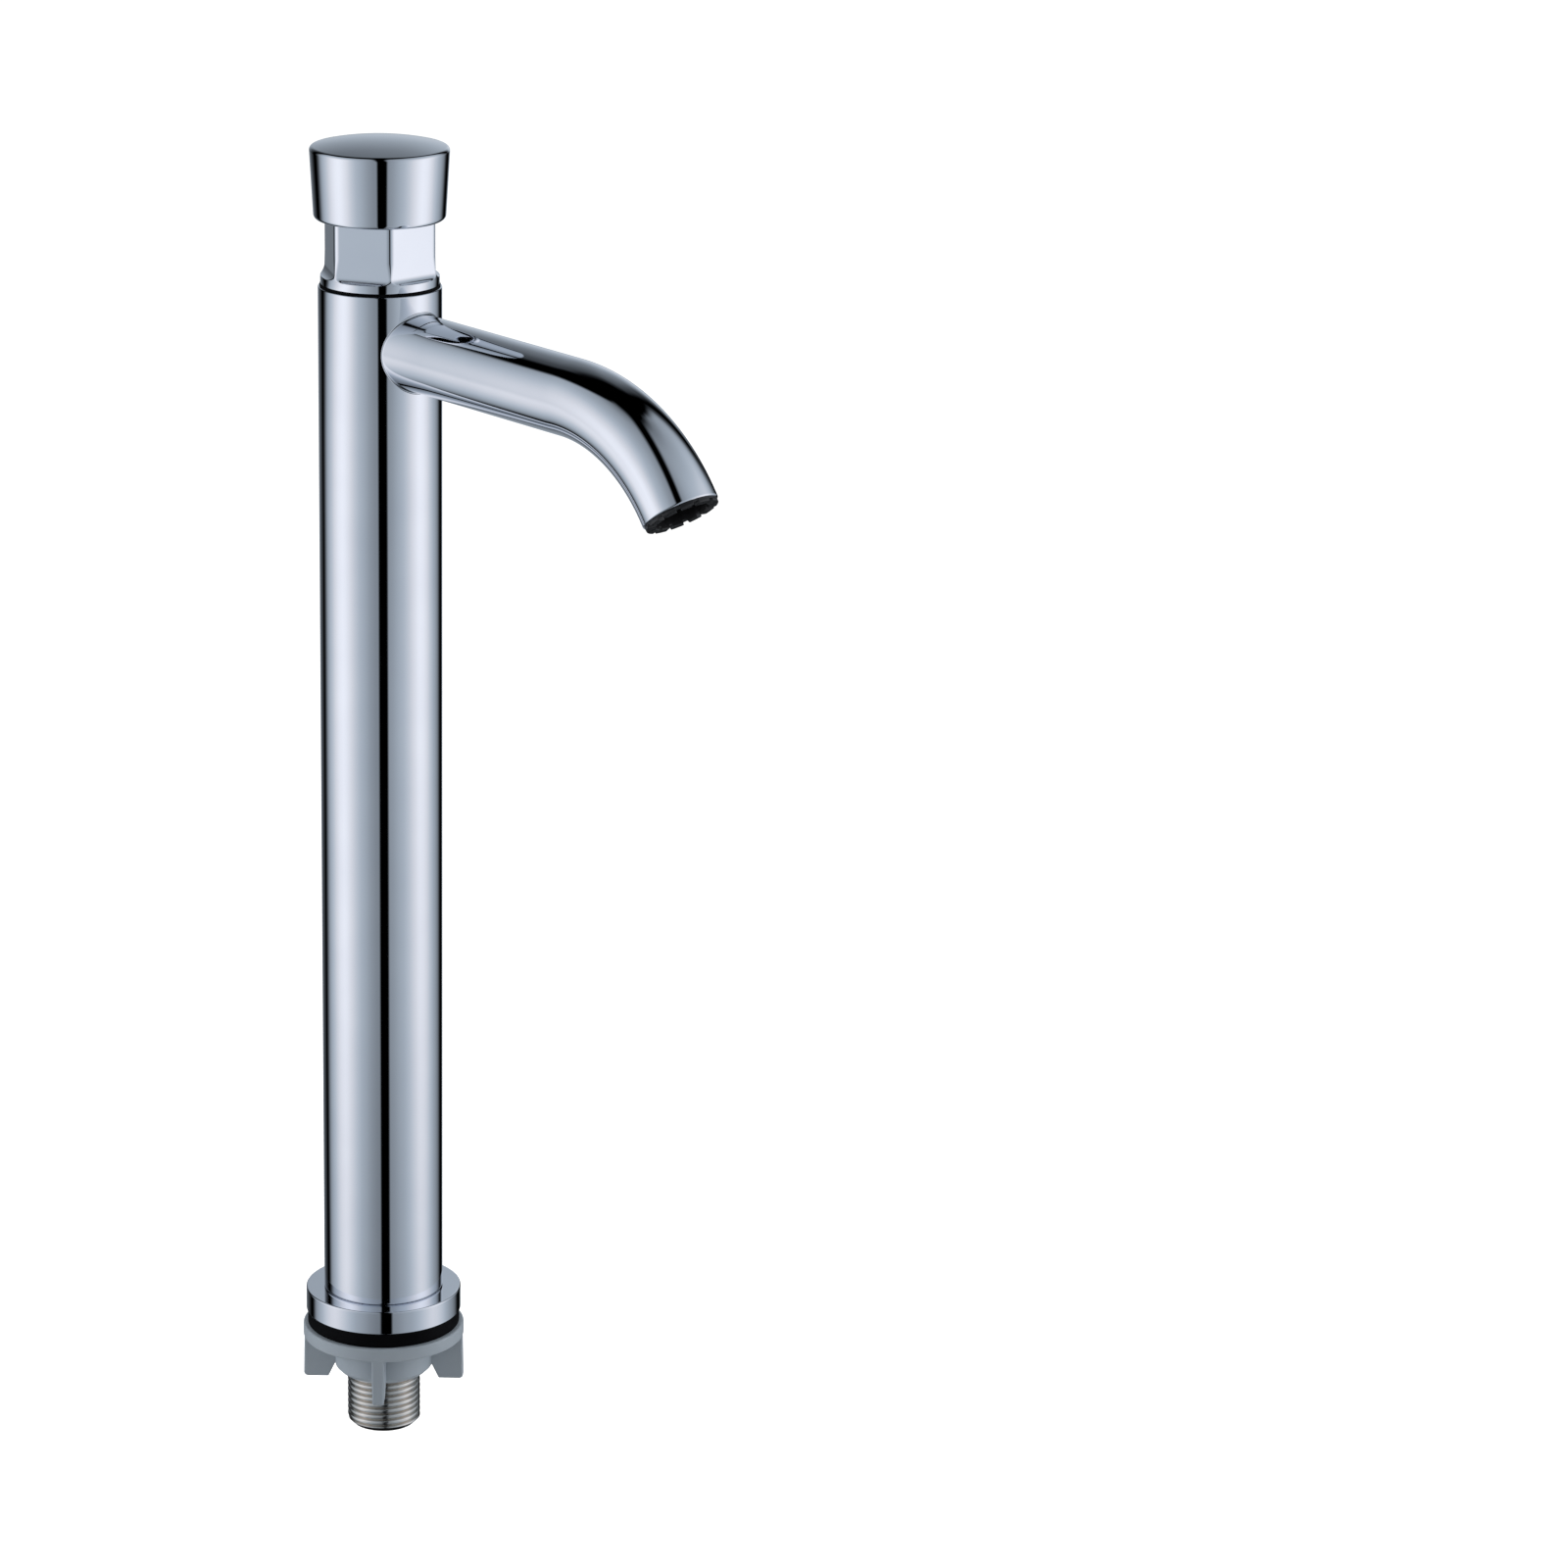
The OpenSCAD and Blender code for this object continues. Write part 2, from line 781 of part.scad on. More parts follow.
module stem() {
    groove_foot = piston_foot - clip_t - fit_gap;
    groove_r = stem_thin_r - clip_bite;
    color(steel)
        rotate_extrude()
            polygon([
                [0, stem_foot],
                [valve_bolt_r, stem_foot],
                [valve_bolt_r, seat_z],
                [stem_thin_r, seat_z],
                [stem_thin_r, groove_foot],
                [groove_r, groove_foot],
                [groove_r, piston_foot],
                [stem_thin_r, piston_foot],
                [stem_thin_r, piston_top],
                [stem_r, piston_top],
                [stem_r, stem_top],
                [0, stem_top]
            ]);
}

module piston() {
    color(white_plastic)
        difference() {
            rotate_extrude()
                polygon([
                    [stem_thin_r + fit_gap, piston_foot],
                    [piston_r, piston_foot],
                    [piston_r, piston_top],
                    [spigot_r, piston_top],
                    [spigot_r, spigot_top],
                    [spigot_r + snap_rim, spigot_top],
                    [spigot_r + snap_rim, snap_rim_top],
                    [stem_r + fit_gap, snap_rim_top],
                    [stem_r + fit_gap, piston_top],
                    [stem_thin_r + fit_gap, piston_top]
                ]);
            translate([needle_offset, 0, 0])
                post(piston_foot - overcut, snap_rim_top - piston_foot + 2 * overcut, needle_hole_r);
        }
}

module piston_cup() {
    r_in = spigot_r + fit_gap;
    r_out = sleeve_bore_r - seal_gap;
    base_h = 1.1;
    lip_lean = 0.3;
    color(black_rubber)
        rotate_extrude()
            polygon([
                [r_in, piston_top],
                [r_out - lip_lean, piston_top],
                [r_out, piston_top + cup_h],
                [r_out - cup_wall, piston_top + cup_h],
                [r_out - cup_wall - lip_lean, piston_top + base_h],
                [r_in + cup_wall, piston_top + base_h],
                [r_in + cup_wall, piston_top + cup_h],
                [r_in, piston_top + cup_h]
            ]);
}

module timing_needle() {
    head_h = 0.6;
    tail = 1.5;
    color(steel)
        translate([needle_offset, 0, 0])
            rotate_extrude()
                polygon([
                    [0, piston_foot - tail],
                    [needle_r, piston_foot - tail],
                    [needle_r, snap_rim_top],
                    [2 * needle_r, snap_rim_top],
                    [2 * needle_r, snap_rim_top + head_h],
                    [0, snap_rim_top + head_h]
                ]);
}

module piston_clip() {
    clip_foot = piston_foot - clip_t;
    mouth_w = 2 * (stem_thin_r - fit_gap);
    color(steel)
        difference() {
            ring(clip_foot, clip_t, stem_thin_r + clip_w, stem_thin_r - clip_bite + fit_gap);
            translate([0, -mouth_w / 2, clip_foot - overcut])
                cube([stem_thin_r + clip_w + overcut, mouth_w, clip_t + 2 * overcut]);
        }
}

module valve_washer() {
    color(black_rubber)
        ring(disc_top, valve_washer_h, valve_r, valve_hole_r);
}

module valve_disc() {
    color(brass)
        rotate_extrude()
            polygon([
                [valve_hole_r, disc_foot],
                [valve_cup_r + valve_cup_wall, disc_foot],
                [valve_cup_r + valve_cup_wall, disc_top + valve_cup_h],
                [valve_cup_r, disc_top + valve_cup_h],
                [valve_cup_r, disc_top],
                [valve_hole_r, disc_top]
            ]);
}

module valve_nut() {
    color(steel)
        translate([0, 0, disc_foot - valve_nut_h])
            difference() {
                cylinder(h = valve_nut_h, r = valve_nut_r, $fn = 6);
                translate([0, 0, -overcut])
                    cylinder(h = valve_nut_h + 2 * overcut, r = valve_hole_r);
            }
}

// Height of the spring's wire after some turns: one closed turn at each end, working coils between
function wire_z(turn) =
    turn < 1 ? end_pitch * turn
    : turn > spring_turns - 1 ? spring_rise - end_pitch * (spring_turns - turn)
    : end_pitch + work_pitch * (turn - 1);

// One round of points about the wire's centre line
function wire_ring(turn) =
    let (out = [cos(360 * turn), sin(360 * turn), 0])
    [for (s = [0:wire_sides - 1])
        (spring_r + wire_r * cos(360 * s / wire_sides)) * out
        + [0, 0, spring_foot + wire_r + wire_z(turn) + wire_r * sin(360 * s / wire_sides)]];

// Triangles between one round of points and the next
function wire_skin(ring_no) =
    [for (s = [0:wire_sides - 1])
        let (a = ring_no * wire_sides + s, b = ring_no * wire_sides + (s + 1) % wire_sides)
        each [[a, b, b + wire_sides], [a, b + wire_sides, a + wire_sides]]];

module return_spring() {
    last = spring_turns * rings_per_turn;
    coil_steps = [for (i = [0:last - rings_per_turn])
        let (turn = i / rings_per_turn)
        wire_z(turn + 1) - wire_z(turn)];
    points = [for (i = [0:last]) each wire_ring(i / rings_per_turn)];
    first_end = [for (s = [2:wire_sides - 1]) [0, s, s - 1]];
    last_point = last * wire_sides;
    last_end = [for (s = [2:wire_sides - 1]) [last_point, last_point + s - 1, last_point + s]];
    skin = [for (i = [0:last - 1]) each wire_skin(i)];
    echo(least_gap_between_coils = min(coil_steps) - wire_d);
    color(steel)
        polyhedron(points, concat(first_end, skin, last_end));
}

column_tube();
base_flange();
base_gasket();
inlet_shank();
backnut();
spout_tube();
aerator_housing();
aerator_screen();
aerator_washer();
valve_chamber();
chamber_oring();
timing_sleeve();
sleeve_oring();
bonnet();
bonnet_gasket();
stem_bush();
stem_orings();
bush_clip();
push_cap();
stem();
piston();
piston_cup();
timing_needle();
piston_clip();
valve_washer();
valve_disc();
valve_nut();
return_spring();
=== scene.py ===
"""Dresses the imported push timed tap: polished chrome, moulded nut, cut thread and a studio tent."""

import json
import math

import bmesh
import bpy
import numpy as np
from mathutils import Matrix, Vector

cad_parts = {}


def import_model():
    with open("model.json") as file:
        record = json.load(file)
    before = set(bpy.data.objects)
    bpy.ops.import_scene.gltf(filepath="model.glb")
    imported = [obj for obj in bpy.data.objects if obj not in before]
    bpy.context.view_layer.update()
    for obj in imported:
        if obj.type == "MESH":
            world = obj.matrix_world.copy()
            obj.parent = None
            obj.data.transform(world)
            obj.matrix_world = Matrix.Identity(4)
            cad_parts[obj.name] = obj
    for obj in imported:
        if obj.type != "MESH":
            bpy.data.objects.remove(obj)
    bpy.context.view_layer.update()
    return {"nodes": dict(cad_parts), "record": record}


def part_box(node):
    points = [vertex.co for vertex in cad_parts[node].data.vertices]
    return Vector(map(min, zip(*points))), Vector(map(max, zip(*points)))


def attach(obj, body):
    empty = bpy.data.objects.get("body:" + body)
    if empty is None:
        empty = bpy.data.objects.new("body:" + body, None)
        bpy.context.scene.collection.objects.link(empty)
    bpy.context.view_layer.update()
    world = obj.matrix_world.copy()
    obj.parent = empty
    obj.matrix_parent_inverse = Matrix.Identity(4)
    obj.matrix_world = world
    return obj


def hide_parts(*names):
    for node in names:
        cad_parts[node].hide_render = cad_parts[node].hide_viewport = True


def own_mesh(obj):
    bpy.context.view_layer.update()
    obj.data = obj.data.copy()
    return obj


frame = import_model()
BOX = {name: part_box(name) for name in frame["nodes"]}
MM = 0.001

# Photograph's view: where the camera stands and how it is turned
CAMERA_AZIMUTH = math.radians(-40.574)
CAMERA_DISTANCE = 1.48251
CAMERA_HEIGHT = 0.61409
CAMERA_PITCH = math.radians(16.934)
CAMERA_YAW = math.radians(4.3675)
CAMERA_ROLL = math.radians(1.0701)
CAMERA_LENS = 126.414
SENSOR_WIDTH = 36.0

# Fineness of the turned and swept meshes, and the reach of the rows that hold a fillet's shading
TURN_STEPS = 256
FILLET_STEPS = 6
HOLD = 0.03 * MM
MERGE = 1e-7

# Range of a noise pattern that the materials spread between their two values
PATTERN_LOW = 0.3
PATTERN_HIGH = 0.7

# Column, flange, seals and cap, where the frame's boxes don't give a size
EDGE = 0.25 * MM
FIT_GAP = 0.05 * MM
FLANGE_EDGE = 0.4 * MM
CAP_RIM_EDGE = 1.2 * MM
CAP_LIP = 1.3 * MM
CAP_FOOT_EDGE = 0.1 * MM
CAP_RIM_WIDER = 1.13 * MM
CAP_DOME = 2.4 * MM
DOME_STEPS = 40
CAP_ROOF = 0.6 * MM
CAP_BORE_R = 16.6 * MM
CAP_BOSS_R = 5.5 * MM
CAP_BOSS_H = 7.5 * MM
CAP_SOCKET_R = 3.05 * MM
CAP_SOCKET_ROOF = 0.95 * MM
COLUMN_WALL = 1.5 * MM
COLUMN_EDGE = 0.35 * MM
COLUMN_FOOT = 0.7 * MM
DECK_GASKET_EDGE = 0.45 * MM
NECK_GASKET_EDGE = 0.15 * MM
NECK_GASKET_GAP = 0.3 * MM

# Bonnet
COLLAR_H = 2.0 * MM
TAPER_H = 6.0 * MM
NECK_R = 15.85 * MM
FLAT_R = 14.0 * MM
FLAT_RUNOUT = 2.0 * MM
FLAT_RISE = 0.3 * MM
FLAT_COUNT = 6
CORNER_SOFT = 0.35 * MM
FLAT_HALF = math.radians(26)
FLAT_LEAST = math.radians(1)
FLAT_ROWS = 12
RUNOUT_STEPS = 24
# Shares of half a flat and of a corner at which its columns lie
ON_FLAT = (0, 0.3, 0.55, 0.75, 0.85, 0.895, 0.915, 0.93, 0.945, 0.96, 0.975, 0.99, 1.0)
ON_CORNER = (0.04, 0.1, 0.18, *np.linspace(0.26, 0.74, 9), 0.82, 0.9, 0.96)
POCKET_R = 10.8 * MM
WEB_BOTTOM = 304.3 * MM
WEB_TOP = 310.3 * MM
BARREL_R = 12.65 * MM
BARREL_BORE_R = 10.55 * MM
STEM_HOLE_R = 3.1 * MM
BUSH_HOLE_R = 6.25 * MM
BUSH_FOOT = 305.7 * MM
CLIP_HOLE_R = 6.95 * MM
CLIP_FOOT = 309.4 * MM

# Spout
SPOUT_R = 10.65 * MM
SPOUT_BORE_R = 8.45 * MM
SPOUT_Z = 288.6 * MM
SPOUT_SLOPE = math.radians(1.5)
SPOUT_RUN = 77.8 * MM
SPOUT_BEND = 52.0 * MM
MOUTH_SLOPE = math.radians(54.5)
NOSE_LEN = 2.0 * MM
NOSE_SEAT_R = 9.35 * MM
NOSE_SEAT_DEPTH = 7.0 * MM
MOUTH_EDGE = 0.5 * MM
BRAZE_R = 0.7 * MM
SPOUT_SIDES = 160
RUN_FROM = 12.0 * MM
RUN_ROWS = 12
BEND_STEPS = 56
BORE_ROWS = 14
BORE_SHY = math.radians(1)

# Aerator, measured along its axis from the floor of its seat
AERATOR_R = 9.25 * MM
AERATOR_BORE_R = 7.55 * MM
AERATOR_COLLAR_R = 10.25 * MM
AERATOR_BACK = 1.2 * MM
AERATOR_FRONT = 8.2 * MM
AERATOR_EDGE = 0.3 * MM
NOTCH_COUNT = 12
NOTCH_WIDTH = 1.4 * MM
NOTCH_DEPTH = 0.7 * MM
# Degrees off a notch's edge and share of its depth, down its wall, and the columns of the land beside it
NOTCH_WALL = ((0.5, 0.0), (0.1, 0.15), (-0.1, 0.85), (-0.5, 1.0), (-2.5, 1.0))
NOTCH_SHOULDER = 1.5
LAND_COLUMNS = (1, 4)

# Inlet thread, half-inch pipe form
THREAD_PITCH = 1.814 * MM
THREAD_DEPTH = 1.162 * MM
THREAD_CREST = 3.6
THREAD_BEVEL = 1.5 * MM
THREAD_STEPS = 24
INLET_BORE_R = 7.5 * MM
SHANK_SPIGOT_R = 9.0775 * MM
RELIEF_HEAD = -14.2 * MM
RELIEF_FOOT = -15.4 * MM
RELIEF_DEPTH = 0.6 * MM

# Return spring, with one closed turn at each end
WIRE_R = 0.8 * MM
WIRE_SIDES = 12
SPRING_COILS = 6
SPRING_END_PITCH = 2.05 * MM
COIL_STEPS = 48

# Backnut
NUT_DISC_H = 4.0 * MM
NUT_HUB_R = 13.98 * MM
NUT_HUB_H = 14.8 * MM
NUT_BORE_R = 10.78 * MM
NUT_HUB_BEVEL = 1.5 * MM
NUT_EDGE = 0.6 * MM
NUT_ROOT_EDGE = 0.8 * MM
NUT_BEVEL_EDGE = 0.7 * MM
NUT_FOOT_EDGE = 0.5 * MM
WING_COUNT = 4
WING_FIRST = math.radians(45)
WING_REACH = 17.5 * MM
WING_ROOT_T = 3.8 * MM
WING_TIP_T = 3.2 * MM
WING_TOE = 2.0 * MM
WING_CORNER = 1.2 * MM
WING_EDGE = 0.5 * MM
WING_INSET = 0.3 * MM


# Meshes

def new_piece(name, verts, faces, body, slot, *nodes):
    """Mesh object that rides on a body, stands for CAD nodes and takes its finish from a slot."""
    mesh = bpy.data.meshes.new(name)
    mesh.from_pydata([tuple(v) for v in verts], [], faces)
    work = bmesh.new()
    work.from_mesh(mesh)
    bmesh.ops.remove_doubles(work, verts=work.verts, dist=MERGE)
    bmesh.ops.recalc_face_normals(work, faces=work.faces)
    work.to_mesh(mesh)
    work.free()
    mesh.shade_smooth()
    piece = bpy.data.objects.new(name, mesh)
    bpy.context.scene.collection.objects.link(piece)
    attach(piece, body)
    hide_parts(*nodes)
    mesh.materials.append(MATERIALS[slot])
    return piece


def grid_faces(rows, columns):
    """Quads of a grid that closes on itself both ways."""
    faces = []
    for i in range(rows):
        for j in range(columns):
            k, m = (i + 1) % rows, (j + 1) % columns
            faces.append((i * columns + j, i * columns + m, k * columns + m, k * columns + j))
    return faces


def rounded(corners):
    """Closed profile of (radius, height) points from corners (radius, height, fillet)."""
    points = []
    count = len(corners)
    for i, (r, z, fillet) in enumerate(corners):
        here = np.array((r, z))
        to_last = np.array(corners[i - 1][:2]) - here
        to_next = np.array(corners[(i + 1) % count][:2]) - here
        if fillet == 0:
            points.append(here)
            continue
        u = to_last / np.linalg.norm(to_last)
        v = to_next / np.linalg.norm(to_next)
        half = math.acos(max(-1.0, min(1.0, float(u @ v)))) / 2
        reach = fillet / math.tan(half)
        centre = here + (u + v) / np.linalg.norm(u + v) * fillet / math.sin(half)
        start = here + u * reach - centre
        end = here + v * reach - centre
        points.append(here + u * (reach + HOLD))
        for s in range(FILLET_STEPS + 1):
            t = s / FILLET_STEPS
            spread = math.pi - 2 * half
            arm = math.sin((1 - t) * spread) * start + math.sin(t * spread) * end
            points.append(centre + arm / math.sin(spread))
        points.append(here + v * (reach + HOLD))
    return points


def edge_steps():
    """Shares of a rounded edge's radius, off its second face and off its first, from first to second."""
    angles = np.linspace(0, math.pi / 2, FILLET_STEPS + 1)
    return [(1 - math.sin(a), 1 - math.cos(a)) for a in angles]


def arc(centre, r, start, end, steps):
    """Points (radius, height, 0) along an arc of a profile."""
    angles = np.linspace(start, end, steps + 1)
    return [(centre[0] + r * math.cos(a), centre[1] + r * math.sin(a), 0) for a in angles]


def turned(name, corners, body, slot, *nodes):
    """Piece turned about Z from a closed profile of rounded corners."""
    profile = rounded(corners)
    angles = np.arange(TURN_STEPS) * 2 * math.pi / TURN_STEPS
    verts = [(r * math.cos(a), r * math.sin(a), z) for r, z in profile for a in angles]
    return new_piece(name, verts, grid_faces(len(profile), TURN_STEPS), body, slot, *nodes)


# Materials

def shader(name, **sockets):
    """Node material with a principled shader whose constant sockets are set directly."""
    mat = bpy.data.materials.new(name)
    mat.use_nodes = True
    bsdf = mat.node_tree.nodes["Principled BSDF"]
    for socket, value in sockets.items():
        bsdf.inputs[socket.replace("_", " ")].default_value = value
    return mat


def add(mat, kind, **values):
    """Adds a node and sets its properties, or its sockets where it has no such property."""
    node = mat.node_tree.nodes.new(kind)
    for key, value in values.items():
        if hasattr(node, key):
            setattr(node, key, value)
        else:
            node.inputs[key.replace("_", " ")].default_value = value
    return node


def join(mat, source, target):
    mat.node_tree.links.new(source, target)


def noise(mat, scale, detail=2.0, stretch=None):
    """Noise in the piece's own place, in features per metre, stretched along its axes if asked."""
    place = add(mat, "ShaderNodeTexCoord").outputs["Object"]
    if stretch:
        mapping = add(mat, "ShaderNodeMapping", Scale=stretch)
        join(mat, place, mapping.inputs["Vector"])
        place = mapping.outputs["Vector"]
    texture = add(mat, "ShaderNodeTexNoise", Scale=scale, Detail=detail)
    join(mat, place, texture.inputs["Vector"])
    return texture.outputs["Fac"]


def vary(mat, fac, socket, low, high):
    """Drives a shader socket between two values by a pattern."""
    span = add(mat, "ShaderNodeMapRange", To_Min=low, To_Max=high)
    span.inputs["From Min"].default_value = PATTERN_LOW
    span.inputs["From Max"].default_value = PATTERN_HIGH
    join(mat, fac, span.inputs["Value"])
    join(mat, span.outputs["Result"], mat.node_tree.nodes["Principled BSDF"].inputs[socket])


def tint(mat, fac, dark, light):
    """Drives the base colour between two colours by a pattern."""
    ramp = add(mat, "ShaderNodeValToRGB")
    ramp.color_ramp.elements[0].position = PATTERN_LOW
    ramp.color_ramp.elements[0].color = (*dark, 1)
    ramp.color_ramp.elements[1].position = PATTERN_HIGH
    ramp.color_ramp.elements[1].color = (*light, 1)
    join(mat, fac, ramp.inputs["Fac"])
    join(mat, ramp.outputs["Color"], mat.node_tree.nodes["Principled BSDF"].inputs["Base Color"])


def bump(mat, fac, strength, distance):
    """Raises the surface by a pattern, by a distance in metres."""
    node = add(mat, "ShaderNodeBump", Strength=strength, Distance=distance)
    join(mat, fac, node.inputs["Height"])
    join(mat, node.outputs["Normal"], mat.node_tree.nodes["Principled BSDF"].inputs["Normal"])


def chrome():
    mat = shader("polished_chrome", Metallic=1.0)
    tint(mat, noise(mat, 60), (0.79, 0.81, 0.86), (0.82, 0.84, 0.885))
    vary(mat, noise(mat, 220, 4.0), "Roughness", 0.015, 0.045)
    return mat


def machined_steel():
    mat = shader("machined_steel", Metallic=1.0)
    tint(mat, noise(mat, 300, 3.0), (0.69, 0.66, 0.62), (0.77, 0.74, 0.70))
    vary(mat, noise(mat, 900, 3.0), "Roughness", 0.15, 0.22)
    bump(mat, noise(mat, 200, 2.0, (1, 1, 60)), 0.1, 0.01 * MM)
    return mat


def brass():
    mat = shader("machined_brass", Metallic=1.0)
    tint(mat, noise(mat, 120, 3.0), (0.62, 0.45, 0.20), (0.74, 0.56, 0.28))
    vary(mat, noise(mat, 500, 3.0), "Roughness", 0.22, 0.38)
    bump(mat, noise(mat, 200, 2.0, (1, 1, 50)), 0.3, 0.02 * MM)
    return mat


def moulded(name, dark, light, rough, shine=0.5):
    """Moulded plastic or rubber with a faint grain."""
    mat = shader(name, Specular_IOR_Level=shine)
    tint(mat, noise(mat, 90, 3.0), dark, light)
    vary(mat, noise(mat, 700, 3.0), "Roughness", rough - 0.05, rough + 0.05)
    bump(mat, noise(mat, 2600, 3.0), 0.25, 0.03 * MM)
    return mat


MATERIALS = {
    "chrome": chrome(),
    "brass": brass(),
    "steel": machined_steel(),
    "rubber": moulded("black_rubber", (0.0010, 0.0010, 0.0014), (0.0022, 0.0022, 0.0028), 0.60, 0.05),
    "grey_plastic": moulded("grey_plastic", (0.258, 0.30, 0.345), (0.285, 0.33, 0.375), 0.48),
    "black_plastic": moulded("black_plastic", (0.009, 0.009, 0.010), (0.015, 0.015, 0.017), 0.40, 0.4),
    "white_plastic": moulded("white_plastic", (0.72, 0.72, 0.68), (0.80, 0.80, 0.76), 0.40),
}

for part in frame["record"]["subparts"]:
    cad_mesh = frame["nodes"][part["node"]].data
    cad_mesh.materials.clear()
    cad_mesh.materials.append(MATERIALS[part["material_slot"]])


# Turned pieces

def column():
    low, high = BOX["column_tube"]
    r, bore = high.x, high.x - COLUMN_WALL
    corners = [
        (bore, low.z, EDGE), (r, low.z, COLUMN_FOOT), (r, high.z, COLUMN_EDGE), (bore, high.z, EDGE),
    ]
    turned("column", corners, "tap_body", "chrome", "column_tube")


def flange():
    low, high = BOX["base_flange"]
    top = BOX["column_tube"][0].z
    spigot_r = BOX["column_tube"][1].x - COLUMN_WALL - FIT_GAP
    shank_top = BOX["inlet_shank"][1].z
    socket_r = SHANK_SPIGOT_R + FIT_GAP
    corners = [
        (socket_r, low.z, EDGE), (high.x, low.z, EDGE), (high.x, top, FLANGE_EDGE), (spigot_r, top, EDGE),
        (spigot_r, high.z, EDGE), (INLET_BORE_R, high.z, EDGE), (INLET_BORE_R, shank_top, EDGE),
        (socket_r, shank_top, EDGE),
    ]
    turned("flange", corners, "tap_body", "chrome", "base_flange")


def ring_seal(name, node, bore, edge):
    low, high = BOX[node]
    corners = [(bore, low.z, edge), (high.x, low.z, edge), (high.x, high.z, edge), (bore, high.z, edge)]
    turned(name, corners, "tap_body", "rubber", node)


def cap():
    low, high = BOX["push_cap"]
    rim_r, rim_z = high.x, high.z - CAP_DOME
    foot_r = rim_r - CAP_RIM_WIDER
    ceiling = rim_z - CAP_ROOF
    dome_r = (rim_r ** 2 + CAP_DOME ** 2) / (2 * CAP_DOME)
    dome_centre = (0, high.z - dome_r)
    rim_angle = math.atan2(rim_z - dome_centre[1], rim_r)
    dome = arc(dome_centre, dome_r, rim_angle + 2 * CAP_RIM_EDGE / dome_r, math.pi / 2, DOME_STEPS)
    boss_foot = ceiling - CAP_BOSS_H
    socket_top = ceiling - CAP_SOCKET_ROOF
    corners = [
        (CAP_BORE_R, low.z, CAP_FOOT_EDGE), (foot_r, low.z, CAP_LIP), (rim_r, rim_z, CAP_RIM_EDGE), *dome,
        (0, socket_top, 0), (CAP_SOCKET_R, socket_top, 0), (CAP_SOCKET_R, boss_foot, EDGE),
        (CAP_BOSS_R, boss_foot, EDGE), (CAP_BOSS_R, ceiling, EDGE), (CAP_BORE_R, ceiling, EDGE),
    ]
    turned("cap", corners, "plunger", "chrome", "push_cap")


# Bonnet

def bonnet_side(z):
    """Radius of the bonnet's turned side at a height."""
    collar_r = BOX["bonnet"][1].x
    taper_foot = BOX["bonnet_gasket"][1].z + COLLAR_H
    share = min(max((z - taper_foot) / TAPER_H, 0), 1)
    return collar_r + (NECK_R - collar_r) * share


def bonnet_flat(z, flat_foot):
    """Distance of a flat from the axis at a height, with its round run-out below the flat's foot."""
    drop = min(max(flat_foot - z, 0), FLAT_RUNOUT)
    return FLAT_R + FLAT_RUNOUT - math.sqrt(FLAT_RUNOUT ** 2 - drop ** 2)


def soft_min(a, b, soft):
    """Lesser of two radii, rounded over where they cross."""
    near = max(soft - abs(a - b), 0) / soft
    return min(a, b) - near * near * soft / 4


def flat_angles(half):
    """Angles round the bonnet, closest together where the flats meet the turned corners."""
    on_flat = np.array(ON_FLAT)
    on_flat = np.concatenate((-on_flat[:0:-1], on_flat))
    sector = 2 * math.pi / FLAT_COUNT
    turn = np.concatenate((on_flat * half, half + np.array(ON_CORNER) * (sector - 2 * half)))
    return np.concatenate([turn + (i + 0.5) * sector for i in range(FLAT_COUNT)])


def round_row(r, z):
    """Ring of the bonnet where no flat cuts it."""
    return [(r * math.cos(a), r * math.sin(a), z) for a in flat_angles(FLAT_HALF)]


def cut_row(z, flat_foot, inset=0.0):
    """Ring of the bonnet at a height where its flats cut into the turned side."""
    side = bonnet_side(z) - inset
    flat = bonnet_flat(z, flat_foot)
    half = math.acos(min(flat / side, math.cos(FLAT_LEAST)))
    sector = 2 * math.pi / FLAT_COUNT
    row = []
    for a in flat_angles(half):
        off = a % sector - sector / 2
        r = soft_min(side, flat / math.cos(off), CORNER_SOFT)
        row.append((r * math.cos(a), r * math.sin(a), z))
    return row


def bonnet():
    low, high = BOX["bonnet"]
    seat = BOX["bonnet_gasket"][1].z
    collar_r = high.x
    ledge = seat + COLLAR_H + FLAT_RISE
    flat_foot = ledge + FLAT_RUNOUT
    bore = [
        (CLIP_HOLE_R, WEB_TOP), (CLIP_HOLE_R, CLIP_FOOT), (BUSH_HOLE_R, CLIP_FOOT),
        (BUSH_HOLE_R, BUSH_FOOT), (STEM_HOLE_R, BUSH_FOOT), (STEM_HOLE_R, WEB_BOTTOM),
        (BARREL_BORE_R, WEB_BOTTOM), (BARREL_BORE_R, low.z), (BARREL_R, low.z), (BARREL_R, seat),
    ]
    rows = [round_row(r, z) for r, z in bore]
    rows += [round_row(collar_r - EDGE * a, seat + EDGE * b) for a, b in edge_steps()]
    rows += [round_row(bonnet_side(z), z) for z in (seat + COLLAR_H - HOLD, ledge - HOLD, ledge)]
    runout = flat_foot - FLAT_RUNOUT * np.cos(np.linspace(0, math.pi / 2, RUNOUT_STEPS + 1))
    rows += [cut_row(z, flat_foot) for z in runout]
    rows += [cut_row(z, flat_foot) for z in np.linspace(flat_foot, high.z - EDGE, FLAT_ROWS)[1:]]
    rows += [cut_row(high.z - EDGE * a, flat_foot, EDGE * b) for a, b in edge_steps()[1:]]
    rows += [round_row(POCKET_R, high.z), round_row(POCKET_R, WEB_TOP)]
    verts = [v for row in rows for v in row]
    new_piece("bonnet_body", verts, grid_faces(len(rows), len(rows[0])), "tap_body", "chrome", "bonnet")


# Spout

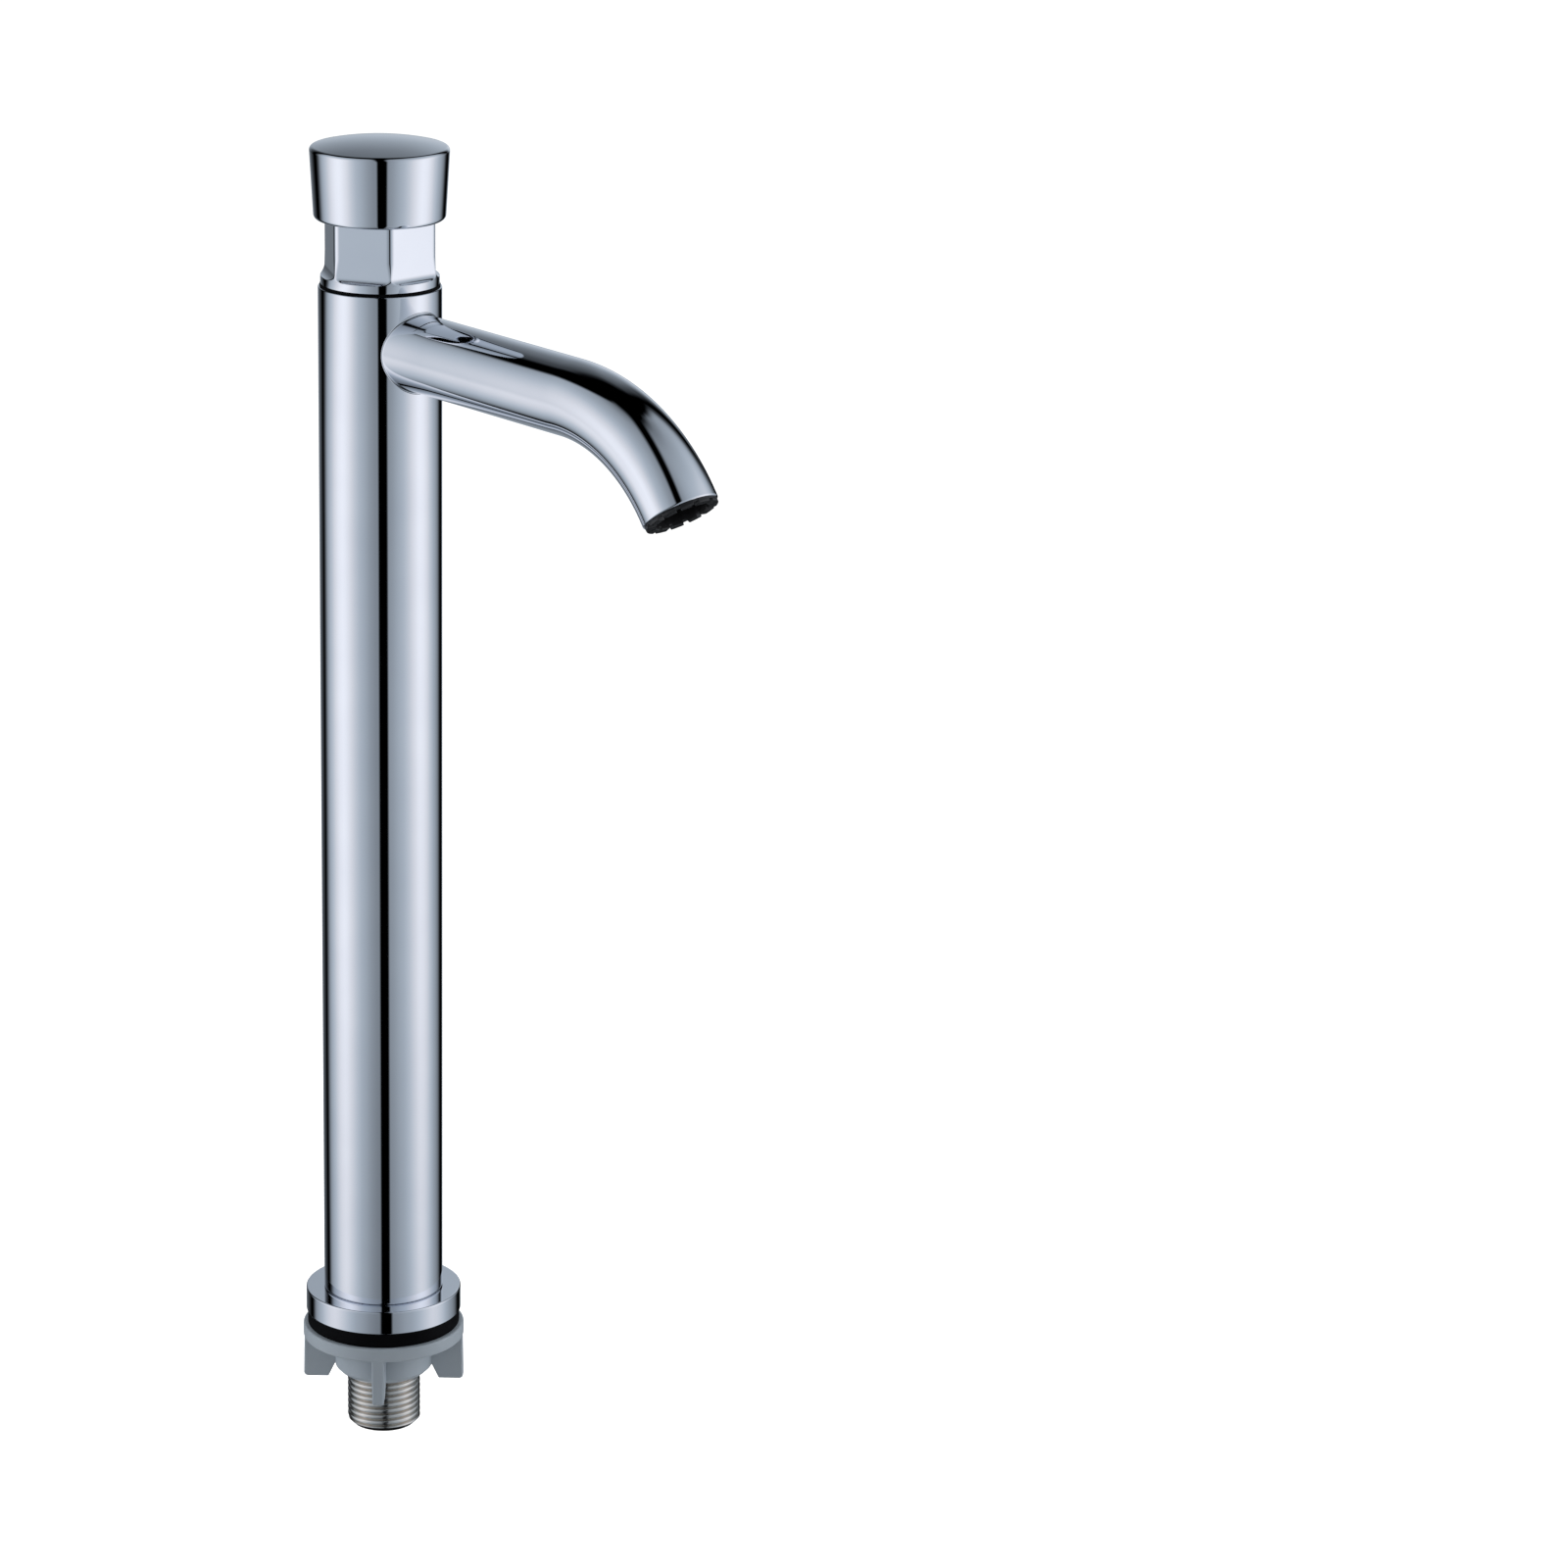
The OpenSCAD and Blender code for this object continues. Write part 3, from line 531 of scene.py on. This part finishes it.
def spout_frame(slope):
    """Axis and upward normal of the spout in its plane, at a slope below level."""
    axis = np.array((0, -math.cos(slope), -math.sin(slope)))
    up = np.array((0, -math.sin(slope), math.cos(slope)))
    return axis, up


def bend_point(slope):
    """Point on the bend's centre line where the spout has a slope."""
    axis, up = spout_frame(SPOUT_SLOPE)
    centre = np.array((0, 0, SPOUT_Z)) + axis * SPOUT_RUN - up * SPOUT_BEND
    return centre + spout_frame(slope)[1] * SPOUT_BEND


def spout_ring(centre, up, r):
    side = np.array((1.0, 0, 0))
    angles = np.arange(SPOUT_SIDES) * 2 * math.pi / SPOUT_SIDES
    return [centre + r * (math.cos(a) * side + math.sin(a) * up) for a in angles]


def reach_column(origin, axis, arm, column_r):
    """Point that leaves the column's side along the spout's axis, from an arm off that axis."""
    start = origin + arm
    a = axis[0] ** 2 + axis[1] ** 2
    b = start[0] * axis[0] + start[1] * axis[1]
    c = start[0] ** 2 + start[1] ** 2 - column_r ** 2
    return start + axis * (-b + math.sqrt(b * b - a * c)) / a


def braze_rows(origin, axis, up, column_r):
    """Rows of the small round fillet from the column's side onto the spout."""
    rows = [[] for _ in range(FILLET_STEPS + 1)]
    for arm in spout_ring(np.zeros(3), up, 1.0):
        centre = reach_column(origin, axis, arm * (SPOUT_R + BRAZE_R), column_r + BRAZE_R)
        to_column = -np.array((centre[0], centre[1], 0)) / math.hypot(centre[0], centre[1])
        spread = math.acos(max(-1.0, min(1.0, float(to_column @ -arm))))
        for s, row in enumerate(rows):
            t = s / FILLET_STEPS
            way = math.sin((1 - t) * spread) * to_column - math.sin(t * spread) * arm
            row.append(centre + BRAZE_R * way / math.sin(spread))
    return rows


def nose_rows():
    """Pairs of length along the nose and radius, round the mouth's edge and into the aerator's seat."""
    seat_floor = NOSE_LEN - NOSE_SEAT_DEPTH
    rows = [(0.5 * NOSE_LEN, SPOUT_R), (NOSE_LEN - MOUTH_EDGE - HOLD, SPOUT_R)]
    rows += [(NOSE_LEN - MOUTH_EDGE * a, SPOUT_R - MOUTH_EDGE * b) for a, b in edge_steps()]
    return rows + [(NOSE_LEN, NOSE_SEAT_R), (seat_floor, NOSE_SEAT_R), (seat_floor, SPOUT_BORE_R)]


def spout():
    """Swept tube from the column's side, round the bend to the mouth and back along its bore."""
    column_r = BOX["column_tube"][1].x
    origin = np.array((0, 0, SPOUT_Z))
    axis, up = spout_frame(SPOUT_SLOPE)
    arms = spout_ring(np.zeros(3), up, SPOUT_BORE_R)
    rows = [[reach_column(origin, axis, arm, column_r) for arm in arms]]
    rows += braze_rows(origin, axis, up, column_r)
    for reach in np.linspace(column_r + RUN_FROM, SPOUT_RUN, RUN_ROWS)[:-1]:
        rows.append(spout_ring(origin + axis * reach, up, SPOUT_R))
    slopes = np.linspace(SPOUT_SLOPE, MOUTH_SLOPE, BEND_STEPS + 1)
    for slope in slopes:
        rows.append(spout_ring(bend_point(slope), spout_frame(slope)[1], SPOUT_R))
    nose_axis, nose_up = spout_frame(MOUTH_SLOPE)
    nose = bend_point(MOUTH_SLOPE)
    for reach, r in nose_rows():
        rows.append(spout_ring(nose + nose_axis * reach, nose_up, r))
    bore_from = MOUTH_SLOPE + (NOSE_LEN - NOSE_SEAT_DEPTH) / SPOUT_BEND - BORE_SHY
    for slope in np.linspace(bore_from, SPOUT_SLOPE, BORE_ROWS):
        rows.append(spout_ring(bend_point(slope), spout_frame(slope)[1], SPOUT_BORE_R))
    verts = [v for row in rows for v in row]
    new_piece("spout", verts, grid_faces(len(rows), SPOUT_SIDES), "tap_body", "chrome", "spout_tube")


# Aerator

def notch_columns():
    """Pairs of angle and depth share round the aerator's front, with steep walls at each key notch."""
    half = math.degrees(math.asin(0.5 * NOTCH_WIDTH / AERATOR_R))
    sector = 360 / NOTCH_COUNT
    falling = [(sector / 2 - off, 0.0) for off in LAND_COLUMNS]
    falling.append((half + NOTCH_SHOULDER, 0.0))
    falling += [(half + off, share) for off, share in NOTCH_WALL]
    offsets = [(-off, share) for off, share in falling] + falling[::-1]
    columns = []
    for i in range(NOTCH_COUNT):
        middle = (i + 0.5) * sector
        columns += [(math.radians(middle + off), share) for off, share in offsets]
    return columns


def aerator():
    """Black collar that stands out of the mouth, with key notches round its front."""
    axis, up = spout_frame(MOUTH_SLOPE)
    side = np.array((1.0, 0, 0))
    seat_floor = bend_point(MOUTH_SLOPE) + axis * (NOSE_LEN - NOSE_SEAT_DEPTH)
    edge = AERATOR_EDGE
    back = [
        (AERATOR_BORE_R, AERATOR_BACK), (AERATOR_R, AERATOR_BACK), (AERATOR_R, NOSE_SEAT_DEPTH),
        (AERATOR_COLLAR_R, NOSE_SEAT_DEPTH),
    ]
    front = [(AERATOR_COLLAR_R - edge * b, AERATOR_FRONT - edge * a) for a, b in edge_steps()]
    front += [(AERATOR_BORE_R + edge * a, AERATOR_FRONT - edge * b) for a, b in edge_steps()]
    columns = notch_columns()
    verts = []
    for row, (r, z) in enumerate(back + front):
        depth = NOTCH_DEPTH if row >= len(back) else 0
        for a, share in columns:
            arm = math.cos(a) * side + math.sin(a) * up
            verts.append(seat_floor + axis * (z - depth * share) + r * arm)
    faces = grid_faces(len(back + front), len(columns))
    new_piece("aerator_collar", verts, faces, "tap_body", "black_plastic", "aerator_housing")


# Inlet shank with its thread

def thread_radius(turns, crest_r):
    """Radius of the thread's side at a place along its pitch, with broad round crests and narrow roots."""
    wave = abs((turns % 1.0) * 2 - 1)
    return crest_r - THREAD_DEPTH * (1 - wave) ** THREAD_CREST


def shank_radius(z, angle, low, shoulder, crest_r):
    """Radius of the threaded side, bevelled at both ends and cut by the relief groove."""
    r = thread_radius((z - low) / THREAD_PITCH - angle / (2 * math.pi), crest_r)
    if RELIEF_FOOT < z < RELIEF_HEAD:
        r = min(r, crest_r - RELIEF_DEPTH)
    return min(r, crest_r - THREAD_BEVEL + min(z - low, shoulder - z, THREAD_BEVEL))


def shank():
    low, high = BOX["inlet_shank"]
    shoulder = BOX["base_flange"][0].z
    angles = np.arange(TURN_STEPS) * 2 * math.pi / TURN_STEPS
    steps = int((shoulder - low.z) / THREAD_PITCH + 2) * THREAD_STEPS
    rows = []
    for i in range(steps + 1):
        row = []
        for a in angles:
            turns = i / THREAD_STEPS - 1 + a / (2 * math.pi)
            z = min(max(low.z + turns * THREAD_PITCH, low.z), shoulder)
            r = shank_radius(z, a, low.z, shoulder, high.x)
            row.append((r * math.cos(a), r * math.sin(a), z))
        rows.append(row)
    inner = [
        (SHANK_SPIGOT_R, shoulder), (SHANK_SPIGOT_R, high.z),
        (INLET_BORE_R, high.z), (INLET_BORE_R, low.z),
    ]
    rows += [[(r * math.cos(a), r * math.sin(a), z) for a in angles] for r, z in inner]
    verts = [v for row in rows for v in row]
    new_piece("shank", verts, grid_faces(len(rows), TURN_STEPS), "tap_body", "steel", "inlet_shank")


# Return spring

def wire_height(turn, rise):
    """Height of the wire's middle after some turns, closed up at both ends."""
    pitch = (rise - 2 * SPRING_END_PITCH) / SPRING_COILS
    if turn < 1:
        return SPRING_END_PITCH * turn
    if turn > SPRING_COILS + 1:
        return rise - SPRING_END_PITCH * (SPRING_COILS + 2 - turn)
    return SPRING_END_PITCH + pitch * (turn - 1)


def spring():
    """Coil under the cap."""
    low, high = BOX["return_spring"]
    height = high.z - low.z
    coil_r = high.x - WIRE_R
    rings = (SPRING_COILS + 2) * COIL_STEPS
    around = np.arange(WIRE_SIDES) * 2 * math.pi / WIRE_SIDES
    verts = []
    for i in range(rings + 1):
        turn = i / COIL_STEPS
        a = 2 * math.pi * turn
        z = low.z + WIRE_R + wire_height(turn, height - 2 * WIRE_R)
        for b in around:
            r = coil_r + WIRE_R * math.cos(b)
            verts.append((r * math.cos(a), r * math.sin(a), z + WIRE_R * math.sin(b)))
    faces = grid_faces(rings + 1, WIRE_SIDES)[:-WIRE_SIDES]
    faces += [tuple(range(WIRE_SIDES)), tuple(range(rings * WIRE_SIDES, (rings + 1) * WIRE_SIDES))]
    piece = new_piece("coil_spring", verts, faces, "tap_body", "steel", "return_spring")
    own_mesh(piece)


# Backnut

def wing_outline():
    """Outline of a wing's side in (radius, height), and the way inward at each point."""
    nut_r = BOX["backnut"][1].x
    inside = NUT_BORE_R + 0.5 * (NUT_HUB_R - NUT_BORE_R)
    hub_foot = NUT_HUB_BEVEL - NUT_HUB_H
    corners = [
        (inside, -0.5 * NUT_DISC_H, WING_EDGE), (nut_r - WING_INSET, -0.5 * NUT_DISC_H, WING_EDGE),
        (nut_r, -WING_REACH, WING_CORNER), (NUT_HUB_R + WING_TOE, -WING_REACH, WING_EDGE),
        (NUT_HUB_R, hub_foot, WING_EDGE), (inside, hub_foot, WING_EDGE),
    ]
    outline = np.array(rounded(corners))
    ahead = np.roll(outline, -1, axis=0) - np.roll(outline, 1, axis=0)
    inward = np.stack((-ahead[:, 1], ahead[:, 0]), axis=1)
    inward /= np.linalg.norm(inward, axis=1)[:, None]
    inward *= np.sign(((outline.mean(axis=0) - outline) * inward).sum(axis=1).mean())
    return outline, inward


def wing_point(r, z, side, shy, turn):
    """Point on a wing's side, which thins downwards, a little shy of its full thickness."""
    share = min(max(-z / WING_REACH, 0), 1)
    half = 0.5 * (WING_ROOT_T + (WING_TIP_T - WING_ROOT_T) * share)
    off = side * (half - shy)
    return r * math.cos(turn) - off * math.sin(turn), r * math.sin(turn) + off * math.cos(turn), z


def wing_mesh(turn):
    """Plate of one wing with rounded edges."""
    outline, inward = wing_outline()
    layers = [(-1, *step) for step in edge_steps()] + [(1, *step) for step in edge_steps()[::-1]]
    verts = []
    for side, inset, shy in layers:
        edge = outline + inward * WING_EDGE * inset
        verts += [wing_point(r, z, side, WING_EDGE * shy, turn) for r, z in edge]
    columns = len(outline)
    faces = grid_faces(len(layers), columns)[:-columns]
    faces += [tuple(range(columns)), tuple(range(len(verts) - columns, len(verts)))]
    mesh = bpy.data.meshes.new("wing")
    mesh.from_pydata(verts, [], faces)
    return mesh


def nut():
    high = BOX["backnut"][1]
    disc_foot = high.z - NUT_DISC_H
    corners = [
        (NUT_BORE_R, high.z, EDGE), (high.x, high.z, NUT_EDGE), (high.x, disc_foot, NUT_EDGE),
        (NUT_HUB_R, disc_foot, NUT_ROOT_EDGE), (NUT_HUB_R, NUT_HUB_BEVEL - NUT_HUB_H, NUT_BEVEL_EDGE),
        (NUT_HUB_R - NUT_HUB_BEVEL, -NUT_HUB_H, NUT_FOOT_EDGE), (NUT_BORE_R, -NUT_HUB_H, EDGE),
    ]
    piece = turned("nut", corners, "backnut", "grey_plastic", "backnut")
    work = bmesh.new()
    work.from_mesh(piece.data)
    for i in range(WING_COUNT):
        mesh = wing_mesh(WING_FIRST + i * 2 * math.pi / WING_COUNT)
        work.from_mesh(mesh)
        bpy.data.meshes.remove(mesh)
    bmesh.ops.recalc_face_normals(work, faces=work.faces)
    work.to_mesh(piece.data)
    work.free()
    for face in piece.data.polygons:
        face.use_smooth = len(face.vertices) <= 4


column()
flange()
ring_seal("deck_gasket", "base_gasket", NUT_BORE_R, DECK_GASKET_EDGE)
ring_seal("neck_gasket", "bonnet_gasket", BARREL_R + NECK_GASKET_GAP, NECK_GASKET_EDGE)
cap()
bonnet()
spout()
aerator()
spring()
shank()
nut()


# Studio

FLOOR_Z = -0.36
FLOOR_HALF = 12.0
FLOOR_GLOW = 0.65
SOFT_LIGHT = 0.43
LAMP_TARGET = Vector((0, 0, 0.15))
TENT_R = 0.7
TENT_Z = 0.25
TENT_TURN_STEP = 1.5
TENT_RISE_STEP = 2.0
# Black slot that the camera looks through: its turn, half width and soft edge, low down and high up
SLOT_TURN = 4.0
SLOT_HIGH_TURN = 0.5
SLOT_HALF = 0.103
SLOT_HIGH_HALF = 0.088
SLOT_SOFT = 0.035
SLOT_HIGH_SOFT = 0.09
SLOT_HIGH = 60
# Strength of the side cloths by degrees from the camera's side
SIDE = (
    (0, 0.26), (12, 0.29), (22, 0.36), (32, 0.46), (42, 0.55), (52, 0.69), (62, 0.86), (72, 1.01),
    (78, 1.05), (86, 1.00), (92, 0.91), (98, 0.80), (104, 0.67), (112, 0.54), (118, 0.43), (123, 0.29),
    (129, 0.07), (135, 0.0),
)
# Shift of the left one, and its lean, which sets in by turn and by height
LEFT_TURN = 1.5
LEFT_LEAN = 7.0
LEAN_FROM = 35
LEAN_TO = 65
LEAN_FOOT = -14
LEAN_SOFT = 10
# Stretch of the right one towards the back below the middle, and its glow low down near the camera
RIGHT_BACK = 115
RIGHT_STRETCH = 0.6
RIGHT_STRETCH_TO = 20
RIGHT_GLOW = 0.18
RIGHT_GLOW_TO = 60
RIGHT_GLOW_TOP = -10
RIGHT_GLOW_SOFT = 12
# How they darken by degrees below the tent's middle, and the most that they have above it
LEFT_LOW = ((-90, 0.0), (-70, 0.10), (-55, 0.55), (-40, 0.80), (-30, 0.95), (-20, 1.0))
RIGHT_LOW = ((-90, 0.0), (-70, 0.10), (-55, 0.65), (-40, 0.74), (-30, 0.88), (-20, 0.97), (-10, 1.0))
HIGH_LIMIT = (
    (0, 1.8), (10, 1.3), (20, 0.95), (30, 0.74), (40, 0.56), (50, 0.44), (60, 0.35), (70, 0.20), (77, 0.0),
)
LIMIT_POWER = 4
# Where their back edges are by degrees above the middle
LEFT_EDGE = (
    (-45, 122), (-30, 134), (30, 134), (42, 126), (48, 112), (53, 100), (60, 86), (66, 75), (72, 62),
)
RIGHT_EDGE = ((45, 140), (55, 124), (60, 117), (70, 100), (76, 80))
EDGE_SOFT = 14
# Back cloth by degrees from the camera's side and above the middle
LEFT_BACK = ((136, 0.0), (145, 0.12), (155, 0.30), (160, 0.50), (166, 0.70), (180, 1.0))
RIGHT_BACK_LOW = 12
RIGHT_BACK_RISE = -5
RIGHT_BACK_SOFT = 10
RIGHT_BACK_TURN = ((142, 0.0), (148, 0.25), (155, 0.95), (165, 1.30), (175, 1.05), (180, 1.0))
BACK_FADE = (
    (-60, 0.0), (-45, 0.22), (-38, 0.38), (-30, 0.34), (-20, 0.39), (-12, 0.48), (0, 0.41), (4, 0.44),
    (9, 0.57), (17, 0.49), (28, 0.35), (42, 0.17), (57, 0.06), (70, 0.0),
)
# Faint light on the ceiling's back
CEILING_GLOW = 0.04
CEILING_FROM = 138
CEILING_FOOT = 35
CEILING_TOP = 66
CEILING_SOFT = 10
CEILING_TOP_SOFT = 8
# Tints of dim and bright cloth, and the strengths between which one turns into the other
BRIGHT_FROM = 0.45
BRIGHT_SOFT = 0.4
GREY_TINT = np.array((0.885, 1.0, 1.125))
BRIGHT_TINT = np.array((0.98, 1.0, 1.06))


def stage_mesh(name, verts, faces, mat):
    mesh = bpy.data.meshes.new(name)
    mesh.from_pydata(verts, [], faces)
    mesh.materials.append(mat)
    mesh.shade_smooth()
    thing = bpy.data.objects.new(name, mesh)
    bpy.context.scene.collection.objects.link(thing)
    return thing


def math_node(mat, operation, *values):
    node = add(mat, "ShaderNodeMath", operation=operation)
    for socket, value in zip(node.inputs, values):
        if isinstance(value, (int, float)):
            socket.default_value = value
        else:
            join(mat, value, socket)
    return node.outputs["Value"]


def along(place, stops):
    """Strength at a place between stops."""
    return float(np.interp(place, [s[0] for s in stops], [s[1] for s in stops]))


def smooth(share):
    share = min(max(share, 0.0), 1.0)
    return share * share * (3 - 2 * share)


def side_cloth(turn, rise):
    """Strength of the left or right cloth, which its height limits and its back edge ends."""
    if turn < 0:
        lean = smooth((rise - LEAN_FOOT) / LEAN_SOFT) * smooth((-turn - LEAN_FROM) / (LEAN_TO - LEAN_FROM))
        place = LEFT_TURN - turn + LEFT_LEAN * lean
        low = along(rise, LEFT_LOW)
        edge = along(rise, LEFT_EDGE)
    else:
        stretch = RIGHT_STRETCH + (1 - RIGHT_STRETCH) * smooth(rise / RIGHT_STRETCH_TO)
        place = min(turn, RIGHT_BACK) + max(turn - RIGHT_BACK, 0) * stretch
        glow = smooth((RIGHT_GLOW_TOP - rise) / RIGHT_GLOW_SOFT) * (1 - smooth(turn / RIGHT_GLOW_TO))
        low = along(rise, RIGHT_LOW) * (1 + RIGHT_GLOW * glow)
        edge = along(rise, RIGHT_EDGE)
    strength = low * along(place, SIDE)
    limit = along(rise, HIGH_LIMIT)
    if strength > 0:
        strength *= limit / (strength ** LIMIT_POWER + limit ** LIMIT_POWER) ** (1 / LIMIT_POWER)
    return strength * smooth((edge - abs(turn)) / EDGE_SOFT + 0.5)


def back_cloth(turn, rise):
    """Strength of the back cloth, which on the right is wider above the middle than below it."""
    if turn < 0:
        across = along(-turn, LEFT_BACK)
    else:
        low = 1 - smooth((rise - RIGHT_BACK_RISE) / RIGHT_BACK_SOFT)
        across = along(turn - RIGHT_BACK_LOW * low, RIGHT_BACK_TURN)
    ceiling = smooth((abs(turn) - CEILING_FROM) / CEILING_SOFT)
    ceiling *= smooth((rise - CEILING_FOOT) / CEILING_SOFT)
    ceiling *= smooth((CEILING_TOP - rise) / CEILING_TOP_SOFT)
    return across * along(rise, BACK_FADE) + CEILING_GLOW * ceiling


def slot_share(turn, rise):
    """Share of the cloth's strength that the black slot leaves."""
    if abs(turn) >= 90:
        return 1.0
    high = smooth(rise / SLOT_HIGH)
    middle = SLOT_TURN + (SLOT_HIGH_TURN - SLOT_TURN) * high
    across = TENT_R * math.cos(math.radians(max(rise, 0))) * math.sin(math.radians(turn - middle))
    half = SLOT_HALF + (SLOT_HIGH_HALF - SLOT_HALF) * high
    soft = SLOT_SOFT + (SLOT_HIGH_SOFT - SLOT_SOFT) * high
    return smooth((abs(across) - half) / soft + 0.5)


def tent_colour(turn, rise):
    """Cloth's colour at degrees from the camera's side, right positive, and above the middle."""
    strength = side_cloth(turn, rise) * slot_share(turn, rise) + back_cloth(turn, rise)
    bright = smooth((strength - BRIGHT_FROM) / BRIGHT_SOFT)
    return strength * (GREY_TINT * (1 - bright) + BRIGHT_TINT * bright)


def tent_cloth():
    """Cloth that glows by the colour at each of its points."""
    mat = bpy.data.materials.new("tent_cloth")
    mat.use_nodes = True
    mat.node_tree.nodes.clear()
    glow = add(mat, "ShaderNodeEmission", Strength=1.0)
    join(mat, add(mat, "ShaderNodeVertexColor", layer_name="glow").outputs["Color"], glow.inputs["Color"])
    join(mat, glow.outputs["Emission"], add(mat, "ShaderNodeOutputMaterial").inputs["Surface"])
    return mat


def tent():
    """Round tent of soft cloths and black gaps that only reflections see."""
    turns = np.arange(-180, 180, TENT_TURN_STEP)
    rises = np.arange(-90, 90.1, TENT_RISE_STEP)
    verts, colours = [], []
    for rise in rises:
        flat = TENT_R * math.cos(math.radians(rise))
        z = TENT_Z + TENT_R * math.sin(math.radians(rise))
        for turn in turns:
            a = CAMERA_AZIMUTH + math.radians(turn)
            verts.append((flat * math.sin(a), -flat * math.cos(a), z))
            colours.append((*tent_colour(turn, rise), 1.0))
    faces = grid_faces(len(rises), len(turns))[:-len(turns)]
    cloth = stage_mesh("tent", verts, faces, tent_cloth())
    layer = cloth.data.color_attributes.new("glow", "FLOAT_COLOR", "POINT")
    layer.data.foreach_set("color", np.array(colours, dtype=np.float32).ravel())
    cloth.visible_camera = False
    cloth.visible_diffuse = False
    cloth.visible_transmission = False
    cloth.visible_shadow = False


def seen_directly(mat):
    """One where the eye, a reflection or clear glass sees it, and nought where it only lights something."""
    path = add(mat, "ShaderNodeLightPath")
    seen = math_node(mat, "MAXIMUM", path.outputs["Is Camera Ray"], path.outputs["Is Glossy Ray"])
    return math_node(mat, "MAXIMUM", seen, path.outputs["Is Transmission Ray"])


def floor():
    mat = shader("pale_floor", Roughness=0.9, Emission_Color=(1, 1, 1, 1))
    tint(mat, noise(mat, 3, 2.0), (0.90, 0.90, 0.90), (0.91, 0.91, 0.91))
    glow = math_node(mat, "MULTIPLY", seen_directly(mat), FLOOR_GLOW)
    join(mat, glow, mat.node_tree.nodes["Principled BSDF"].inputs["Emission Strength"])
    half = FLOOR_HALF
    verts = [(-half, -half, FLOOR_Z), (half, -half, FLOOR_Z), (half, half, FLOOR_Z), (-half, half, FLOOR_Z)]
    ground = stage_mesh("floor", verts, [(0, 1, 2, 3)], mat)
    ground.visible_glossy = False


def lamp(name, azimuth, elevation, distance, size, power):
    """Large soft lamp for matt surfaces, turned to the object's middle, at degrees off the camera's side."""
    data = bpy.data.lights.new(name, "AREA")
    data.shape = "DISK"
    data.size = size
    data.energy = power
    thing = bpy.data.objects.new(name, data)
    bpy.context.scene.collection.objects.link(thing)
    turn = CAMERA_AZIMUTH + math.radians(azimuth)
    elevation = math.radians(elevation)
    level = math.cos(elevation)
    away = Vector((math.sin(turn) * level, -math.cos(turn) * level, math.sin(elevation)))
    thing.location = LAMP_TARGET + away * distance
    thing.rotation_euler = away.to_track_quat("Z", "Y").to_euler()
    thing.visible_glossy = False


def world():
    """White to the eye and in reflections, and a plain soft light on matt surfaces."""
    scene_world = bpy.data.worlds.new("studio")
    bpy.context.scene.world = scene_world
    scene_world.use_nodes = True
    background = scene_world.node_tree.nodes["Background"]
    background.inputs["Color"].default_value = (1, 1, 1, 1)
    strength = add(scene_world, "ShaderNodeMapRange", To_Min=SOFT_LIGHT, To_Max=1.0)
    join(scene_world, seen_directly(scene_world), strength.inputs["Value"])
    join(scene_world, strength.outputs["Result"], background.inputs["Strength"])


def camera():
    turn = Matrix.Rotation(CAMERA_AZIMUTH, 3, "Z")
    ahead = Vector((math.sin(CAMERA_YAW) * math.cos(CAMERA_PITCH),
                    math.cos(CAMERA_YAW) * math.cos(CAMERA_PITCH), -math.sin(CAMERA_PITCH)))
    level = Vector((math.cos(CAMERA_YAW), -math.sin(CAMERA_YAW), 0))
    upright = level.cross(ahead)
    right = turn @ (math.cos(CAMERA_ROLL) * level + math.sin(CAMERA_ROLL) * upright)
    up = turn @ (-math.sin(CAMERA_ROLL) * level + math.cos(CAMERA_ROLL) * upright)
    ahead = turn @ ahead
    data = bpy.data.cameras.new("camera")
    data.lens = CAMERA_LENS
    data.sensor_width = SENSOR_WIDTH
    thing = bpy.data.objects.new("camera", data)
    bpy.context.scene.collection.objects.link(thing)
    place = Matrix((right, up, -ahead)).transposed().to_4x4()
    place.translation = turn @ Vector((0, -CAMERA_DISTANCE, CAMERA_HEIGHT))
    thing.matrix_world = place
    bpy.context.scene.camera = thing


tent()
floor()
world()
camera()
lamp("left_softbox", azimuth=-88, elevation=15, distance=1.6, size=1.4, power=15)
lamp("right_softbox", azimuth=88, elevation=15, distance=1.6, size=1.4, power=14)
lamp("top_softbox", azimuth=160, elevation=70, distance=1.7, size=1.6, power=8)
bpy.context.scene.view_settings.view_transform = "Standard"
